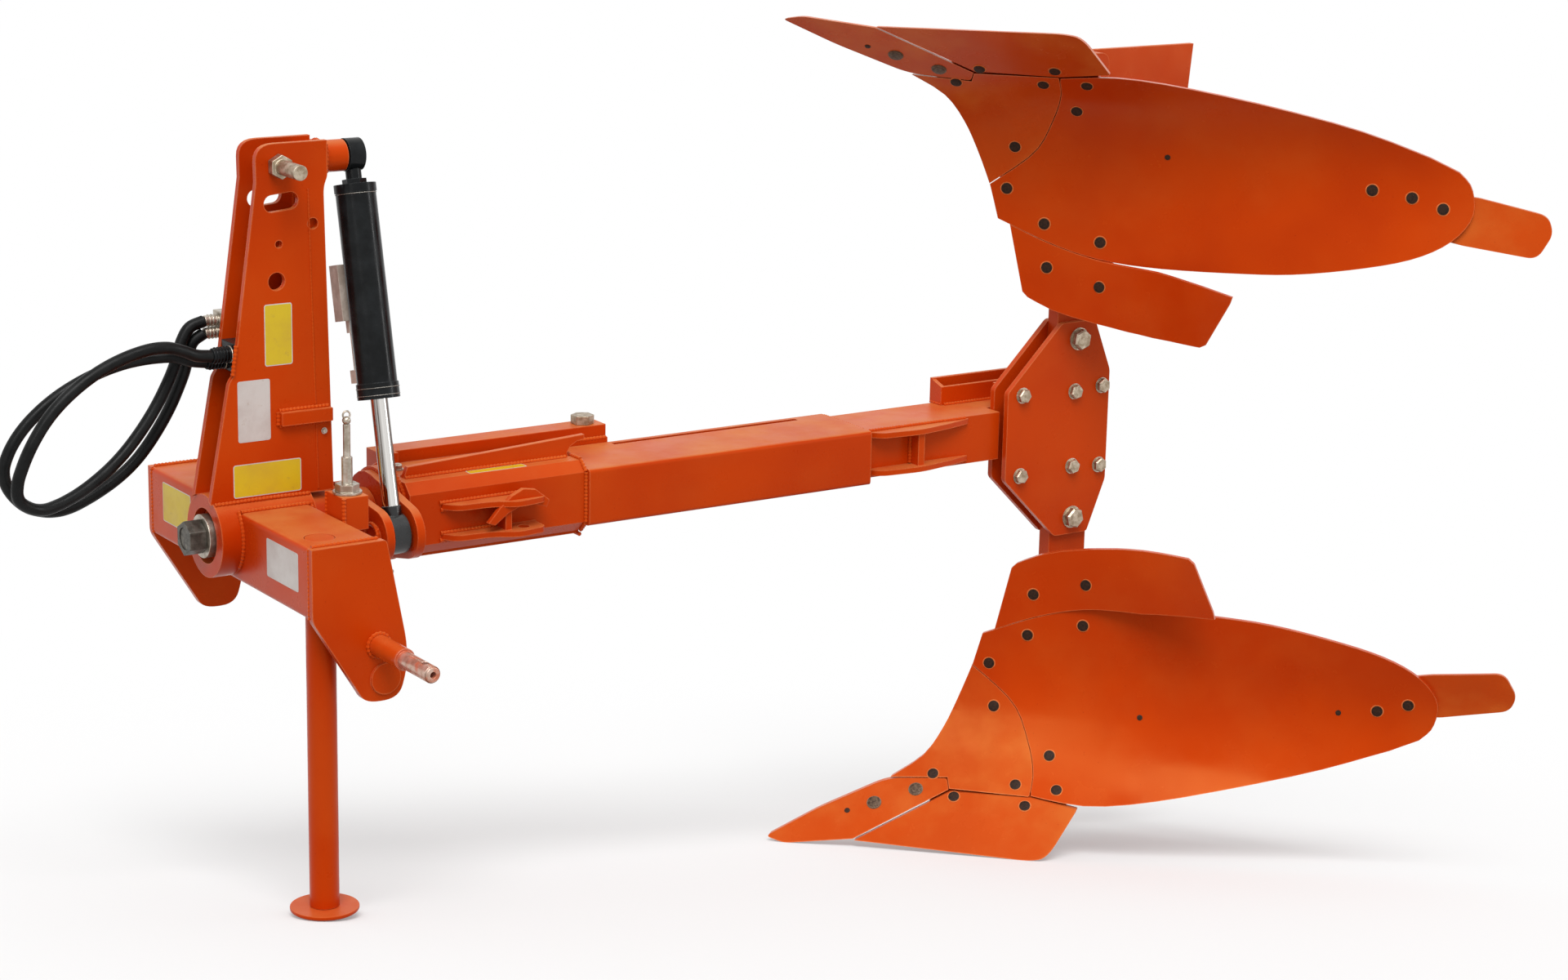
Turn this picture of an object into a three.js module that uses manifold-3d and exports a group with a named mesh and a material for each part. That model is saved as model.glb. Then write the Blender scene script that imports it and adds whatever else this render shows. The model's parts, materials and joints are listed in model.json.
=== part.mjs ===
// Reversible mouldboard plough for a three-point hitch, with one body down and its mirror image up.
// Millimetres. The plough is built level, in its own frame: +X to the rear along the turnover axis,
// +Y to its right, +Z up, with x = 0 at the front of the cross box. At the end the whole plough is
// tilted onto its share and its parking stand, as it rests on a floor.
import * as THREE from 'three';
import { mergeVertices } from 'three/addons/utils/BufferGeometryUtils.js';
import Module from 'manifold-3d';

const wasm = await Module();
wasm.setup();

// ---------------------------------------------------------------- colours
const paint = (color, roughness, metalness) =>
  new THREE.MeshStandardMaterial({ color, roughness, metalness });
const orange = paint(0xd9480f, 0.4, 0.05);
const black = paint(0x15171a, 0.3, 0.1);
const chrome = paint(0xc8ccd0, 0.12, 1);
const zinc = paint(0xa9a49a, 0.35, 0.9);
const rubber = paint(0x141414, 0.6, 0);

// ---------------------------------------------------------------- sizes
const seat = 0.3; // gap between pieces that touch
const seam = 1; // gap between neighbouring wearing plates

const crossBox = { depth: 125, top: 45, bottom: -72, halfWidth: 300, wall: 10, corner: 9 };
const shaftRadius = 45;
const hub = { outer: shaftRadius + 24, bore: shaftRadius + 1, front: -38, rear: 134 };
const endPlate = { thickness: 14, lobeX: 116, lobeZ: -170, lobeRadius: 48 };
const lowerPin = { x: 114, z: -125, shoulder: 18, radius: 14, shoulderLength: 90, length: 90, bore: 5 };
const mast = { outer: 36, plate: 10, top: 636 };
const topPin = { x: 86, z: mast.top - 36, radius: 12.5, reach: 118 };
const topBoss = { radius: 26, front: 172, rear: 216, z: mast.top - 32 };
const stopPost = { depth: 46, inner: 112, width: 60, top: 80, bottom: 24 };
const stopArm = { half: 16, reach: 172, start: 6, thickness: 28 };
const stopScrew = { radius: 9, top: 200, nutRadius: 20, nutHeight: 16 };
const stand = { x: 45, y: 50 - crossBox.halfWidth, radius: 24, wall: 5, bottom: -578, footRadius: 56,
  footThickness: 8 };
const standSleeve = { wall: 6, clearance: 0.8 };

const shaft = { radius: shaftRadius, disc: shaftRadius + 9, front: -22, thread: 18, end: -73, washer: 36,
  washerFront: -45, nut: 29, nutFront: -75 };
const crank = { throw: 140, lugRadius: 44, lugThickness: 15, discRadius: 72, x: 233, sideGap: 5.5 };
const eye = { width: 29, radius: 33, topRadius: 27, topWidth: 28, topPin: 15, topClearance: 0.6 };
const cylinder = { pivotZ: topBoss.z, barrel: 33, gland: 35, rod: 14.2, neck: 48,
  barrelLength: topBoss.z - 254 };
const valve = { width: 40, depth: 30, height: 92, fromPivot: cylinder.barrelLength / 2, pipe: 6 };

const beamFront = { front: 290, rear: 628, near: -85, far: 62, half: 62, wall: 10, bevel: 18 };
const sleeve = { rear: 1217, near: -96, far: 70, half: 50, wall: 10, slotFrom: 760, slotEnd: 67 };
const stub = { half: 45, near: -66, far: 58, wall: 8 };
const adjustBar = { front: 316, rear: 762, near: 75, far: 123, bottom: 58, top: 80, footBottom: 10,
  footLength: 30, boltFromEnd: 34 };
const barLug = { front: 642, bottom: -44 };
const adjustBolt = { x: adjustBar.rear - adjustBar.boltFromEnd, y: (adjustBar.near + adjustBar.far) / 2,
  radius: 12.5, head: 21, headHeight: 16, nutHeight: 16 };
const rib = { near: -40, far: -30, front: 302, rear: 650 };
const skid = { depth: 7, near: -60 };
// The rear group is drawn for a beam that ends here and a leg of this reach, and is moved if they differ.
const drawn = { beamEnd: 1217, legReach: 640 };
const octagon = { nearFace: -89, thickness: 12, left: 1530, right: 1770, topLeft: 1652, topRight: 1730,
  half: 205, leftHalf: 84, rightHalf: 106 };
const leg = { front: 1650, rear: 1737, thickness: 29.4, inner: 62, outer: 640 };
const endBracket = { front: 1464, webFront: 1542, rear: 1768, web: 10, near: 30, nearTop: 80, far: 66,
  half: 92, wall: 8 };

// One body, in its own frame: s runs along the wearing surface's level lines, d out of its working
// side and z up. Heights are for the lower body. The upper body is its mirror image.
const bodyAngle = THREE.MathUtils.degToRad(48); // between the level lines and the line of travel
const face = { edgeZ: -768, edgeD: -923, shareHeight: 91, shareAngle: THREE.MathUtils.degToRad(49),
  curve: 320, twistFrom: 1300, twistTo: 2000, twist: 0.25, twistZ: -440, curlFrom: 1150, curlTo: 1470,
  curl: 85 };
const plate = { wearing: 10, frog: 14, tail: 8 };
const landside = { near: 0, thickness: 12, front: 1478, rear: 2014, bottom: -698, top: -575 };

// ---------------------------------------------------------------- shapes
function box(x0, x1, y0, y1, z0, z1) {
  const shape = new THREE.BoxGeometry(x1 - x0, y1 - y0, z1 - z0);
  return shape.translate((x0 + x1) / 2, (y0 + y1) / 2, (z0 + z1) / 2);
}

// A cylinder along an axis, from one coordinate to another, at (a, b) in the two other axes' order.
function rod(axis, radius, from, to, a, b, sides = 24) {
  const shape = new THREE.CylinderGeometry(radius, radius, to - from, sides);
  const middle = (from + to) / 2;
  if (axis === 'x') return shape.rotateZ(-Math.PI / 2).translate(middle, a, b);
  if (axis === 'y') return shape.translate(a, middle, b);
  return shape.rotateX(Math.PI / 2).translate(a, b, middle);
}

// A closed outline of [u, v, corner radius] points, always run counter-clockwise.
function outline(points) {
  const corners = points.map(([u, v, round = 0]) => ({ at: new THREE.Vector2(u, v), round }));
  if (THREE.ShapeUtils.isClockWise(corners.map(({ at }) => at))) corners.reverse();
  const shape = new THREE.Shape();
  corners.forEach(({ at, round }, index) => {
    const before = corners[(index + corners.length - 1) % corners.length].at;
    const after = corners[(index + 1) % corners.length].at;
    const from = before.clone().sub(at).setLength(Math.min(round, before.distanceTo(at) * 0.45)).add(at);
    const to = after.clone().sub(at).setLength(Math.min(round, after.distanceTo(at) * 0.45)).add(at);
    if (index === 0) shape.moveTo(from.x, from.y);
    else shape.lineTo(from.x, from.y);
    if (round > 0) shape.quadraticCurveTo(at.x, at.y, to.x, to.y);
  });
  shape.closePath();
  return shape;
}

// A round hole whose flats lie outside its radius, so that a round piece of that size passes.
function hole(shape, u, v, radius, count = 28) {
  const corner = radius / Math.cos(Math.PI / count);
  const points = Array.from({ length: count }, (_, index) => {
    const angle = (index / count) * Math.PI * 2;
    return new THREE.Vector2(u + corner * Math.cos(angle), v + corner * Math.sin(angle));
  });
  shape.holes.push(new THREE.Path(points));
}

const extrudeOptions = (depth) => ({ depth, bevelEnabled: false, curveSegments: 6 });
const yzToWorld = new THREE.Matrix4().makeBasis(
  new THREE.Vector3(0, 1, 0), new THREE.Vector3(0, 0, 1), new THREE.Vector3(1, 0, 0));

// Plates: an outline in (x, z), (y, z) or (x, y), between two faces on the axis left over.
function plateAcrossY(shape, y0, y1) {
  return new THREE.ExtrudeGeometry(shape, extrudeOptions(y1 - y0)).rotateX(Math.PI / 2).translate(0, y1, 0);
}

function plateAcrossX(shape, x0, x1) {
  return new THREE.ExtrudeGeometry(shape, extrudeOptions(x1 - x0)).applyMatrix4(yzToWorld).translate(x0, 0, 0);
}

function plateAcrossZ(shape, z0, z1) {
  return new THREE.ExtrudeGeometry(shape, extrudeOptions(z1 - z0)).translate(0, 0, z0);
}

function solid(geometry) {
  const bare = geometry.clone();
  bare.deleteAttribute('normal');
  bare.deleteAttribute('uv');
  const merged = mergeVertices(bare, 1e-3);
  const vertProperties = new Float32Array(merged.attributes.position.array);
  const triVerts = new Uint32Array(merged.index.array);
  return new wasm.Manifold(new wasm.Mesh({ numProp: 3, vertProperties, triVerts }));
}

function surface(manifold) {
  const { vertProperties, triVerts } = manifold.getMesh();
  const geometry = new THREE.BufferGeometry();
  geometry.setAttribute('position', new THREE.BufferAttribute(vertProperties, 3));
  geometry.setIndex(new THREE.BufferAttribute(triVerts, 1));
  geometry.computeVertexNormals();
  return geometry;
}

const join = (...parts) => surface(parts.map(solid).reduce((whole, part) => whole.add(part)));
const cut = (whole, ...tools) =>
  surface(tools.map(solid).reduce((left, tool) => left.subtract(tool), solid(whole)));
const common = (one, other) => surface(solid(one).intersect(solid(other)));

const plough = new THREE.Group();

function add(name, geometry, material, parent = plough) {
  const mesh = new THREE.Mesh(geometry, material);
  mesh.name = name;
  parent.add(mesh);
  return mesh;
}

const sides = [['left', -1], ['right', 1]];

function mirrorY(geometry, sign) {
  return sign < 0 ? geometry : flip(geometry.clone().scale(1, -1, 1));
}

// A mirrored geometry needs its triangles turned over again.
function flip(geometry) {
  const whole = geometry.index ? geometry.toNonIndexed() : geometry;
  whole.deleteAttribute('uv');
  const { array } = whole.attributes.position;
  for (let start = 0; start < array.length; start += 9) {
    for (let axis = 0; axis < 3; axis += 1) {
      const second = array[start + 3 + axis];
      array[start + 3 + axis] = array[start + 6 + axis];
      array[start + 6 + axis] = second;
    }
  }
  whole.computeVertexNormals();
  return whole;
}

// ---------------------------------------------------------------- headstock
function crossBoxShape() {
  const { depth, top, bottom, halfWidth, wall, corner } = crossBox;
  const section = outline([[0, bottom, corner], [depth, bottom, corner], [depth, top, corner], [0, top, corner]]);
  const outer = plateAcrossY(section, -halfWidth, halfWidth);
  const inner = box(wall, depth - wall, -halfWidth - 1, halfWidth + 1, bottom + wall, top - wall);
  const tube = cut(outer, inner);
  const sleeveRadius = stand.radius + standSleeve.clearance + standSleeve.wall;
  const standTube = rod('z', sleeveRadius, bottom, top, stand.x, stand.y);
  const hubTube = rod('x', hub.outer, hub.front, hub.rear, 0, 0, 40);
  const standBore = rod('z', stand.radius + standSleeve.clearance, bottom - 1, top + 1, stand.x, stand.y);
  const hubBore = rod('x', hub.bore, hub.front - 1, hub.rear + 1, 0, 0, 40);
  const screwBore = rod('x', standScrew.radius + seat, stand.x, depth + 1, stand.y, standScrew.z, 20);
  return cut(join(tube, standTube, hubTube), standBore, hubBore, screwBore);
}

const standScrew = { radius: 8, z: -14, head: 14, bar: 5, barHalf: 45 };

function standScrewShape() {
  const tip = stand.x + stand.radius + seat;
  const outside = crossBox.depth + 30;
  const stem = rod('x', standScrew.radius, tip, outside, stand.y, standScrew.z, 20);
  const head = rod('x', standScrew.head, crossBox.depth + 12, outside, stand.y, standScrew.z, 24);
  const bar = rod('y', standScrew.bar, stand.y - standScrew.barHalf, stand.y + standScrew.barHalf,
    outside - 8, standScrew.z, 16);
  return join(stem, head, bar);
}

// An end plate with its rounded lobe, its round boss and the hole for the lower link pin.
function endPlateShape() {
  const inner = crossBox.halfWidth + seat;
  const { thickness, lobeX, lobeZ, lobeRadius } = endPlate;
  const shape = outline([
    [0, crossBox.top], [130, crossBox.top, 6], [164, -127, 20], [lobeX + lobeRadius, lobeZ, 20],
    [lobeX + 34, lobeZ - lobeRadius, 34], [lobeX - 26, lobeZ - lobeRadius, 30], [73, -190, 8], [0, -72, 10],
  ]);
  hole(shape, lowerPin.x, lowerPin.z, lowerPin.shoulder + seat);
  const boss = rod('y', 26, -inner - thickness - 4, -inner - thickness + 1, lobeX + 9, lobeZ - 11);
  return join(plateAcrossY(shape, -inner - thickness, -inner), boss);
}

// The link pin: a flange inside the plate, a shoulder, and the pin with its cross hole.
function lowerPinShape() {
  const inner = crossBox.halfWidth;
  const outerFace = inner + seat + endPlate.thickness;
  const shoulderEnd = outerFace + lowerPin.shoulderLength;
  const end = shoulderEnd + lowerPin.length;
  const { x, z } = lowerPin;
  const body = join(
    rod('y', 30, -inner, -inner + 14, x, z),
    rod('y', lowerPin.shoulder, -shoulderEnd, -inner + 14, x, z),
    rod('y', lowerPin.radius, -end, -inner, x, z),
    rod('y', lowerPin.radius - 2, -end - 3, -inner, x, z));
  const crossHole = rod('z', lowerPin.bore + 1, z - 40, z + 40, x, -end + 22, 16);
  const centreHole = rod('y', lowerPin.bore, -end - 4, -end + 12, x, z, 16);
  return cut(body, crossHole, centreHole);
}

function mastPlateShape() {
  const { outer, plate: thickness, top } = mast;
  const shape = outline([
    [-44, hub.outer - 14], [176, hub.outer - 14], [165, top - 76, 14], [topBoss.front, top - 58, 4],
    [topBoss.front, top], [46, top, 34], [47, top - 61], [3, 268], [-6, 256, 6],
  ]);
  hole(shape, topPin.x, topPin.z, topPin.radius + seat);
  hole(shape, 145, top - 133, 9);
  hole(shape, 85, top - 162, 6);
  hole(shape, 80, top - 222, 14.5);
  const slot = new THREE.Path();
  slot.absarc(74, top - 96, 14, Math.PI / 2, Math.PI * 1.5, false);
  slot.absarc(106, top - 93, 14, -Math.PI / 2, Math.PI / 2, false);
  slot.closePath();
  shape.holes.push(slot);
  const hubClear = rod('x', hub.outer + seat, hub.front - 20, hub.rear + 40, 0, 0, 40);
  return cut(plateAcrossY(shape, -outer, -outer + thickness), hubClear);
}

// The closing channel behind the mast plates, set between them.
function mastChannelShape() {
  const reach = mast.outer - mast.plate - seat;
  const back = outline([
    [148, hub.outer - 14], [174, hub.outer - 14], [163, mast.top - 80], [137, mast.top - 80],
  ]);
  const hollow = outline([
    [140, hub.outer - 15], [164, hub.outer - 15], [153, mast.top - 76], [129, mast.top - 76],
  ]);
  const flange = 7;
  const whole = plateAcrossY(back, -reach, reach);
  const inside = plateAcrossY(hollow, -reach + flange, reach - flange);
  const hubClear = rod('x', hub.outer + seat, hub.front, hub.rear + 40, 0, 0, 40);
  return cut(whole, inside, hubClear);
}

function topBossShape() {
  const reach = mast.outer - mast.plate - seat;
  const tube = rod('x', topBoss.radius, topBoss.front + seat, topBoss.rear, 0, topBoss.z, 40);
  const root = box(140, topBoss.front + 6, -reach, reach, topBoss.z - 16, topBoss.z + 20);
  const pin = rod('x', eye.topPin, topBoss.front, crank.x + eye.topWidth / 2 - 1, 0, topBoss.z);
  return join(tube, root, pin);
}

function topPinShape() {
  const { x, z, radius, reach } = topPin;
  const face = mast.outer + seat;
  return join(
    rod('y', radius, -reach, face + 22, x, z),
    rod('y', 20, -face - 16, -face, x, z, 6),
    rod('y', 22, face, face + 10, x, z, 6));
}

function stopPostShape() {
  const { depth, inner, width, top, bottom } = stopPost;
  const front = crossBox.depth;
  const post = box(front + seat, front + depth, -inner - width, -inner, bottom, top);
  const boreRadius = stopScrew.radius + seat;
  const bore = rod('z', boreRadius, bottom - 1, top + 1, front + depth / 2, -inner - width / 2, 20);
  return cut(post, bore);
}

function stopScrewShape() {
  const x = crossBox.depth + stopPost.depth / 2;
  const y = -stopPost.inner - stopPost.width / 2;
  const { radius, top, nutRadius, nutHeight } = stopScrew;
  const seatZ = stopPost.top + seat;
  const ball = new THREE.SphereGeometry(7, 16, 12).translate(x, y, top);
  return join(
    rod('z', radius, stopArm.half + seat, seatZ + 60, x, y, 20),
    rod('z', nutRadius + 4, seatZ, seatZ + 4, x, y, 24),
    rod('z', nutRadius, seatZ + 3, seatZ + nutHeight, x, y, 6),
    rod('z', 6, seatZ + 50, top - 6, x, y, 16),
    rod('z', 3, top - 10, top, x, y, 12),
    ball);
}

function standLegShape() {
  const { x, y, radius, wall, bottom, footThickness } = stand;
  const start = bottom + footThickness + seat;
  const tube = rod('z', radius, start, crossBox.top, x, y);
  return cut(tube, rod('z', radius - wall, start - 1, crossBox.top - 4, x, y));
}

function standFootShape() {
  const { x, y, radius, bottom, footRadius, footThickness } = stand;
  const profile = [
    [0, 0], [footRadius - 4, 0], [footRadius, 3], [footRadius, footThickness],
    [0, footThickness],
  ].map(([r, h]) => new THREE.Vector2(r, h));
  const dish = new THREE.LatheGeometry(profile, 40).rotateX(Math.PI / 2).translate(x, y, bottom);
  const spigot = rod('z', radius - stand.wall - seat, bottom + 2, bottom + footThickness + 14, x, y);
  return join(dish, spigot);
}

const hose = { radius: 10, ferrule: 12.5, ferruleLength: 34, coupler: 9, couplerLength: 24, straight: 14,
  rounds: 34 };
const bulkhead = { front: 10, rear: 46, bottom: 268, top: 316 };
const holder = { front: 16, rear: 62, bottom: 312, top: 356, depth: 34 };
const hoseStarts = [[bulkhead.front, -11, 298], [bulkhead.front, 12, 284]];
const hoseEnds = [[holder.front, 53, 342], [holder.front, 53, 322]];

function bulkheadShape() {
  const reach = mast.outer - mast.plate - seat;
  const { front, rear, bottom, top } = bulkhead;
  const tubes = hoseStarts.map(([x, y, z]) => rod('x', hose.ferrule, x - hose.ferruleLength, x + 4, y, z, 20));
  return join(box(front, rear, -reach, reach, bottom, top), ...tubes);
}

function holderShape() {
  const near = mast.outer + seat;
  const { front, rear, bottom, top, depth } = holder;
  const tubes = hoseEnds.map(([x, y, z]) => rod('x', hose.coupler, x - hose.couplerLength, x + 4, y, z, 20));
  return join(box(front, rear, near, near + depth, bottom, top), ...tubes);
}

// The two hoses' routes, from the block between the mast plates round to the holder on the far plate.
const hoseRoutes = [
  [[-113, -20, 322], [-212, -26, 300], [-301, -28, 238], [-350, -22, 156], [-356, -14, 106], [-320, -4, 80],
    [-262, 8, 88], [-179, 24, 132], [-111, 38, 198], [-64, 48, 270], [-40, 53, 326]],
  [[-72, 18, 296], [-164, 30, 290], [-269, 38, 246], [-335, 44, 184], [-354, 50, 126], [-320, 56, 74],
    [-262, 62, 56], [-196, 68, 74], [-126, 74, 116], [-70, 74, 186], [-40, 66, 254], [-28, 56, 306]],
];

function hoseShape(index) {
  const [sx, sy, sz] = hoseStarts[index];
  const [ex, ey, ez] = hoseEnds[index];
  const startX = sx - hose.ferruleLength - seat;
  const endX = ex - hose.couplerLength - seat;
  const points = [[startX, sy, sz], [startX - hose.straight, sy, sz], ...hoseRoutes[index],
    [endX - hose.radius, ey, ez], [endX, ey, ez]];
  const places = points.map((point) => new THREE.Vector3(...point));
  const curve = new THREE.CatmullRomCurve3(places, false, 'centripetal');
  const section = new THREE.Shape().absarc(0, 0, hose.radius, 0, Math.PI * 2, false);
  return new THREE.ExtrudeGeometry(new THREE.Shape(section.getPoints(5).slice(0, -1)),
    { steps: hose.rounds, extrudePath: curve, bevelEnabled: false });
}

function buildHeadstock() {
  add('cross_box', crossBoxShape(), orange);
  add('stand_screw', standScrewShape(), zinc);
  for (const [side, sign] of sides) {
    add(`end_plate_${side}`, mirrorY(endPlateShape(), sign), orange);
    add(`lower_link_pin_${side}`, mirrorY(lowerPinShape(), sign), zinc);
    add(`mast_plate_${side}`, mirrorY(mastPlateShape(), sign), orange);
    add(`stop_post_${side}`, mirrorY(stopPostShape(), sign), orange);
    add(`stop_screw_${side}`, mirrorY(stopScrewShape(), sign), zinc);
  }
  add('mast_channel', mastChannelShape(), orange);
  add('mast_bar', box(80, 171, -mast.outer - seat - 12, -mast.outer - seat, 178, 200), orange);
  add('top_boss', topBossShape(), orange);
  add('top_link_pin', topPinShape(), zinc);
  add('hose_block', bulkheadShape(), black);
  add('coupler_holder', holderShape(), zinc);
  add('hose_a', hoseShape(0), rubber);
  add('hose_b', hoseShape(1), rubber);
  add('stand_leg', standLegShape(), orange);
  add('stand_foot', standFootShape(), orange);
}

// ---------------------------------------------------------------- turnover cylinder
// Both pieces are made upright below the top pivot, and a group leans them to the crank pin.
function buildCylinder() {
  const lean = new THREE.Group();
  const pinDistance = Math.hypot(crank.throw, cylinder.pivotZ);
  lean.position.set(crank.x, 0, cylinder.pivotZ);
  lean.rotation.x = -Math.atan2(crank.throw, cylinder.pivotZ);
  const { barrel, gland, rod: rodRadius, neck, barrelLength } = cylinder;
  const barrelEnd = -neck - barrelLength;
  const bore = rod('z', rodRadius + 0.8, barrelEnd - 1, barrelEnd + 300, 0, 0);
  const barrelShape = cut(join(
    rod('x', eye.topRadius, -eye.topWidth / 2, eye.topWidth / 2, 0, 0, 40),
    rod('z', 13, -neck - 2, -20, 0, 0, 24),
    rod('z', 20, -neck, -neck + 8, 0, 0, 6),
    rod('z', barrel + 1.5, -neck - 14, -neck, 0, 0, 40),
    rod('z', barrel, barrelEnd, -neck - 4, 0, 0, 40),
    rod('z', gland, barrelEnd, barrelEnd + 26, 0, 0, 40)), bore,
    rod('x', eye.topPin + eye.topClearance, -eye.topWidth, eye.topWidth, 0, 0));
  add('cylinder_barrel', barrelShape, black, lean);

  const valveTop = -valve.fromPivot;
  const side = barrel + seat;
  const block = box(-valve.width + 8, 8, side, side + valve.depth, valveTop - valve.height, valveTop);
  const pipeX = -10;
  const pipeY = side + 12;
  const portZ = barrelEnd + 40;
  const pipe = rod('z', valve.pipe, portZ, valveTop - valve.height + 2, pipeX, pipeY, 16);
  const union = rod('z', 11, valveTop - valve.height - 20, valveTop - valve.height + 1, pipeX, pipeY, 6);
  const port = cut(box(-20, 0, barrel - 8, pipeY + 9, portZ - 12, portZ + 10),
    rod('z', barrel + seat, portZ - 20, portZ + 20, 0, 0, 40));
  add('cylinder_valve', join(block, pipe, union, port), zinc, lean);

  const rodShape = join(
    rod('x', eye.radius, -eye.width / 2, eye.width / 2, 0, -pinDistance, 40),
    rod('z', 16, -pinDistance, -pinDistance + 46, 0, 0, 24),
    rod('z', rodRadius, -pinDistance + 40, barrelEnd + 120, 0, 0));
  add('cylinder_rod', rodShape, chrome, lean);
  plough.add(lean);
}

// ---------------------------------------------------------------- turning frame
// The hitch pin's lug: a round disc about the turnover axis drawn out to the crank pin.
function lugShape(discRadius) {
  const { throw: arm, lugRadius } = crank;
  const angle = Math.acos((discRadius - lugRadius) / arm);
  const shape = new THREE.Shape();
  shape.absarc(0, 0, discRadius, Math.PI + angle, Math.PI * 3 - angle, false);
  shape.absarc(-arm, 0, lugRadius, Math.PI - angle, Math.PI + angle, false);
  shape.closePath();
  return shape;
}

const rearShift = sleeve.rear - drawn.beamEnd;
const addRear = (name, geometry) => add(name, geometry.translate(rearShift, 0, 0), orange);

function buildRotor() {
  const rearLug = crank.x + eye.width / 2 + crank.sideGap;
  const frontLug = crank.x - eye.width / 2 - crank.sideGap;
  const armFront = hub.rear + stopArm.start;
  add('turnover_shaft', join(
    rod('x', shaft.radius, shaft.front, rearLug - seat, 0, 0, 40),
    rod('x', shaft.disc, armFront, frontLug - crank.lugThickness - seat, 0, 0, 40),
    box(armFront, armFront + stopArm.thickness, 0, stopArm.reach, -stopArm.half, stopArm.half),
    rod('x', shaft.thread, shaft.end, shaft.front + 1, 0, 0)), orange);
  const threadHole = rod('x', shaft.thread + seat, shaft.nutFront - 1, shaft.front + 1, 0, 0);
  const nut = rod('x', shaft.nut, shaft.nutFront, shaft.washerFront - seat, 0, 0, 6);
  add('shaft_nut', cut(nut, threadHole), zinc);
  add('shaft_washer', cut(rod('x', shaft.washer, shaft.washerFront, shaft.front - seat, 0, 0, 40),
    threadHole), zinc);
  const pinHead = (x0, x1) => rod('x', 21, x0, x1, -crank.throw, 0, 28);
  const frontPlate = plateAcrossX(lugShape(60), frontLug - crank.lugThickness, frontLug);
  add('crank_lug_front', cut(join(frontPlate, pinHead(frontLug - crank.lugThickness - 5, frontLug)),
    rod('x', shaft.radius + seat, 100, 300, 0, 0, 40)), orange);
  const rearPlate = plateAcrossX(lugShape(crank.discRadius), rearLug, rearLug + crank.lugThickness);
  const flange = rod('x', crank.discRadius + 6, rearLug + crank.lugThickness - 1, beamFront.front, 0, 0, 40);
  add('crank_lug_rear', join(rearPlate, flange,
    pinHead(rearLug, rearLug + crank.lugThickness + 6)), orange);
  add('beam_front', beamFrontShape(), orange);
  add('beam_sleeve', beamSleeveShape(), orange);
  add('adjusting_bar', adjustBarShape(), orange);
  add('adjusting_bolt', adjustBoltShape(), zinc);
  addRear('beam_rear', beamRearShape());
  addRear('rear_bracket', rearBracketShape());
  addRear('end_bracket', endBracketShape());
  const nearPlate = octagonShape();
  const legNear = octagon.nearFace + octagon.thickness;
  const legFar = legNear + leg.thickness;
  addRear('clamp_plate_near', plateAcrossY(nearPlate, octagon.nearFace, legNear - seat));
  addRear('clamp_plate_far', plateAcrossY(nearPlate, legFar + seat, legFar + octagon.thickness));
  for (const [name, up] of [['lower', -1], ['upper', 1]]) {
    const [low, high] = [up * leg.inner, up * leg.outer].sort((a, b) => a - b);
    addRear(`leg_${name}`, box(leg.front, leg.rear, legNear, legFar, low, high));
    buildBody(name, up, legFar);
  }
}

// A square tube bevelled on its near edges, with a pair of ears on its near side, a rib along its top
// and a strip under it.
function beamFrontShape() {
  const { front, rear, near, far, half, wall, bevel } = beamFront;
  const start = front + seat;
  const shape = outline([[near, -half + bevel], [near + bevel, -half], [far, -half], [far, half],
    [near + bevel, half], [near, half - bevel]]);
  const inner = outline([[near + wall, -half + bevel + 4], [near + bevel + 4, -half + wall],
    [far - wall, -half + wall],
    [far - wall, half - wall], [near + bevel + 4, half - wall], [near + wall, half - bevel - 4]]);
  const tube = cut(plateAcrossX(shape, start, rear), plateAcrossX(inner, start + wall, rear + 1));
  const ear = outline([[345, near + 4], [365, near - 26, 16], [430, near - 30, 14], [470, near - 52, 16],
    [525, near - 42, 10], [528, near + 4]]);
  hole(ear, 492, near - 24, 10);
  const ears = [plateAcrossZ(ear, 14, 24), plateAcrossZ(ear, -38, -28)];
  const web = box(452, 464, near - 34, near + 4, -30, 16);
  const ribOutline = outline([[rib.front, half - 1], [618, half - 1], [616, half + 8], [622, half + 18],
    [636, half + 26], [rib.rear, half + 28], [rib.rear, half + 36], [454, half + 26],
    [rib.front + 8, half + 19]]);
  const strip = box(start, rear, skid.near, far, -half - skid.depth, -half + 1);
  return join(tube, ...ears, web, plateAcrossY(ribOutline, rib.near, rib.far), strip);
}

function beamSleeveShape() {
  const { rear, near, far, half, wall, slotFrom, slotEnd } = sleeve;
  const start = beamFront.rear + seat;
  const shape = outline([[near, -half, 8], [far, -half, 8], [far, half, 8], [near, half, 8]]);
  const inner = outline([[near + wall, -half + wall], [far - wall, -half + wall],
    [far - wall, half - wall], [near + wall, half - wall]]);
  const slot = box(slotFrom, rear - slotEnd, 42, 54, half - wall - 1, half + 1);
  const tube = cut(plateAcrossX(shape, start, rear), plateAcrossX(inner, start - 1, rear + 1), slot);
  const lugTop = adjustBar.bottom - seat;
  const lug = box(barLug.front, adjustBar.rear, far - 1, adjustBar.far, barLug.bottom, lugTop);
  const holeRadius = adjustBolt.radius + seat;
  const boltHole = rod('z', holeRadius, barLug.bottom - 1, adjustBar.bottom, adjustBolt.x, adjustBolt.y);
  return join(tube, cut(lug, boltHole));
}

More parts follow.
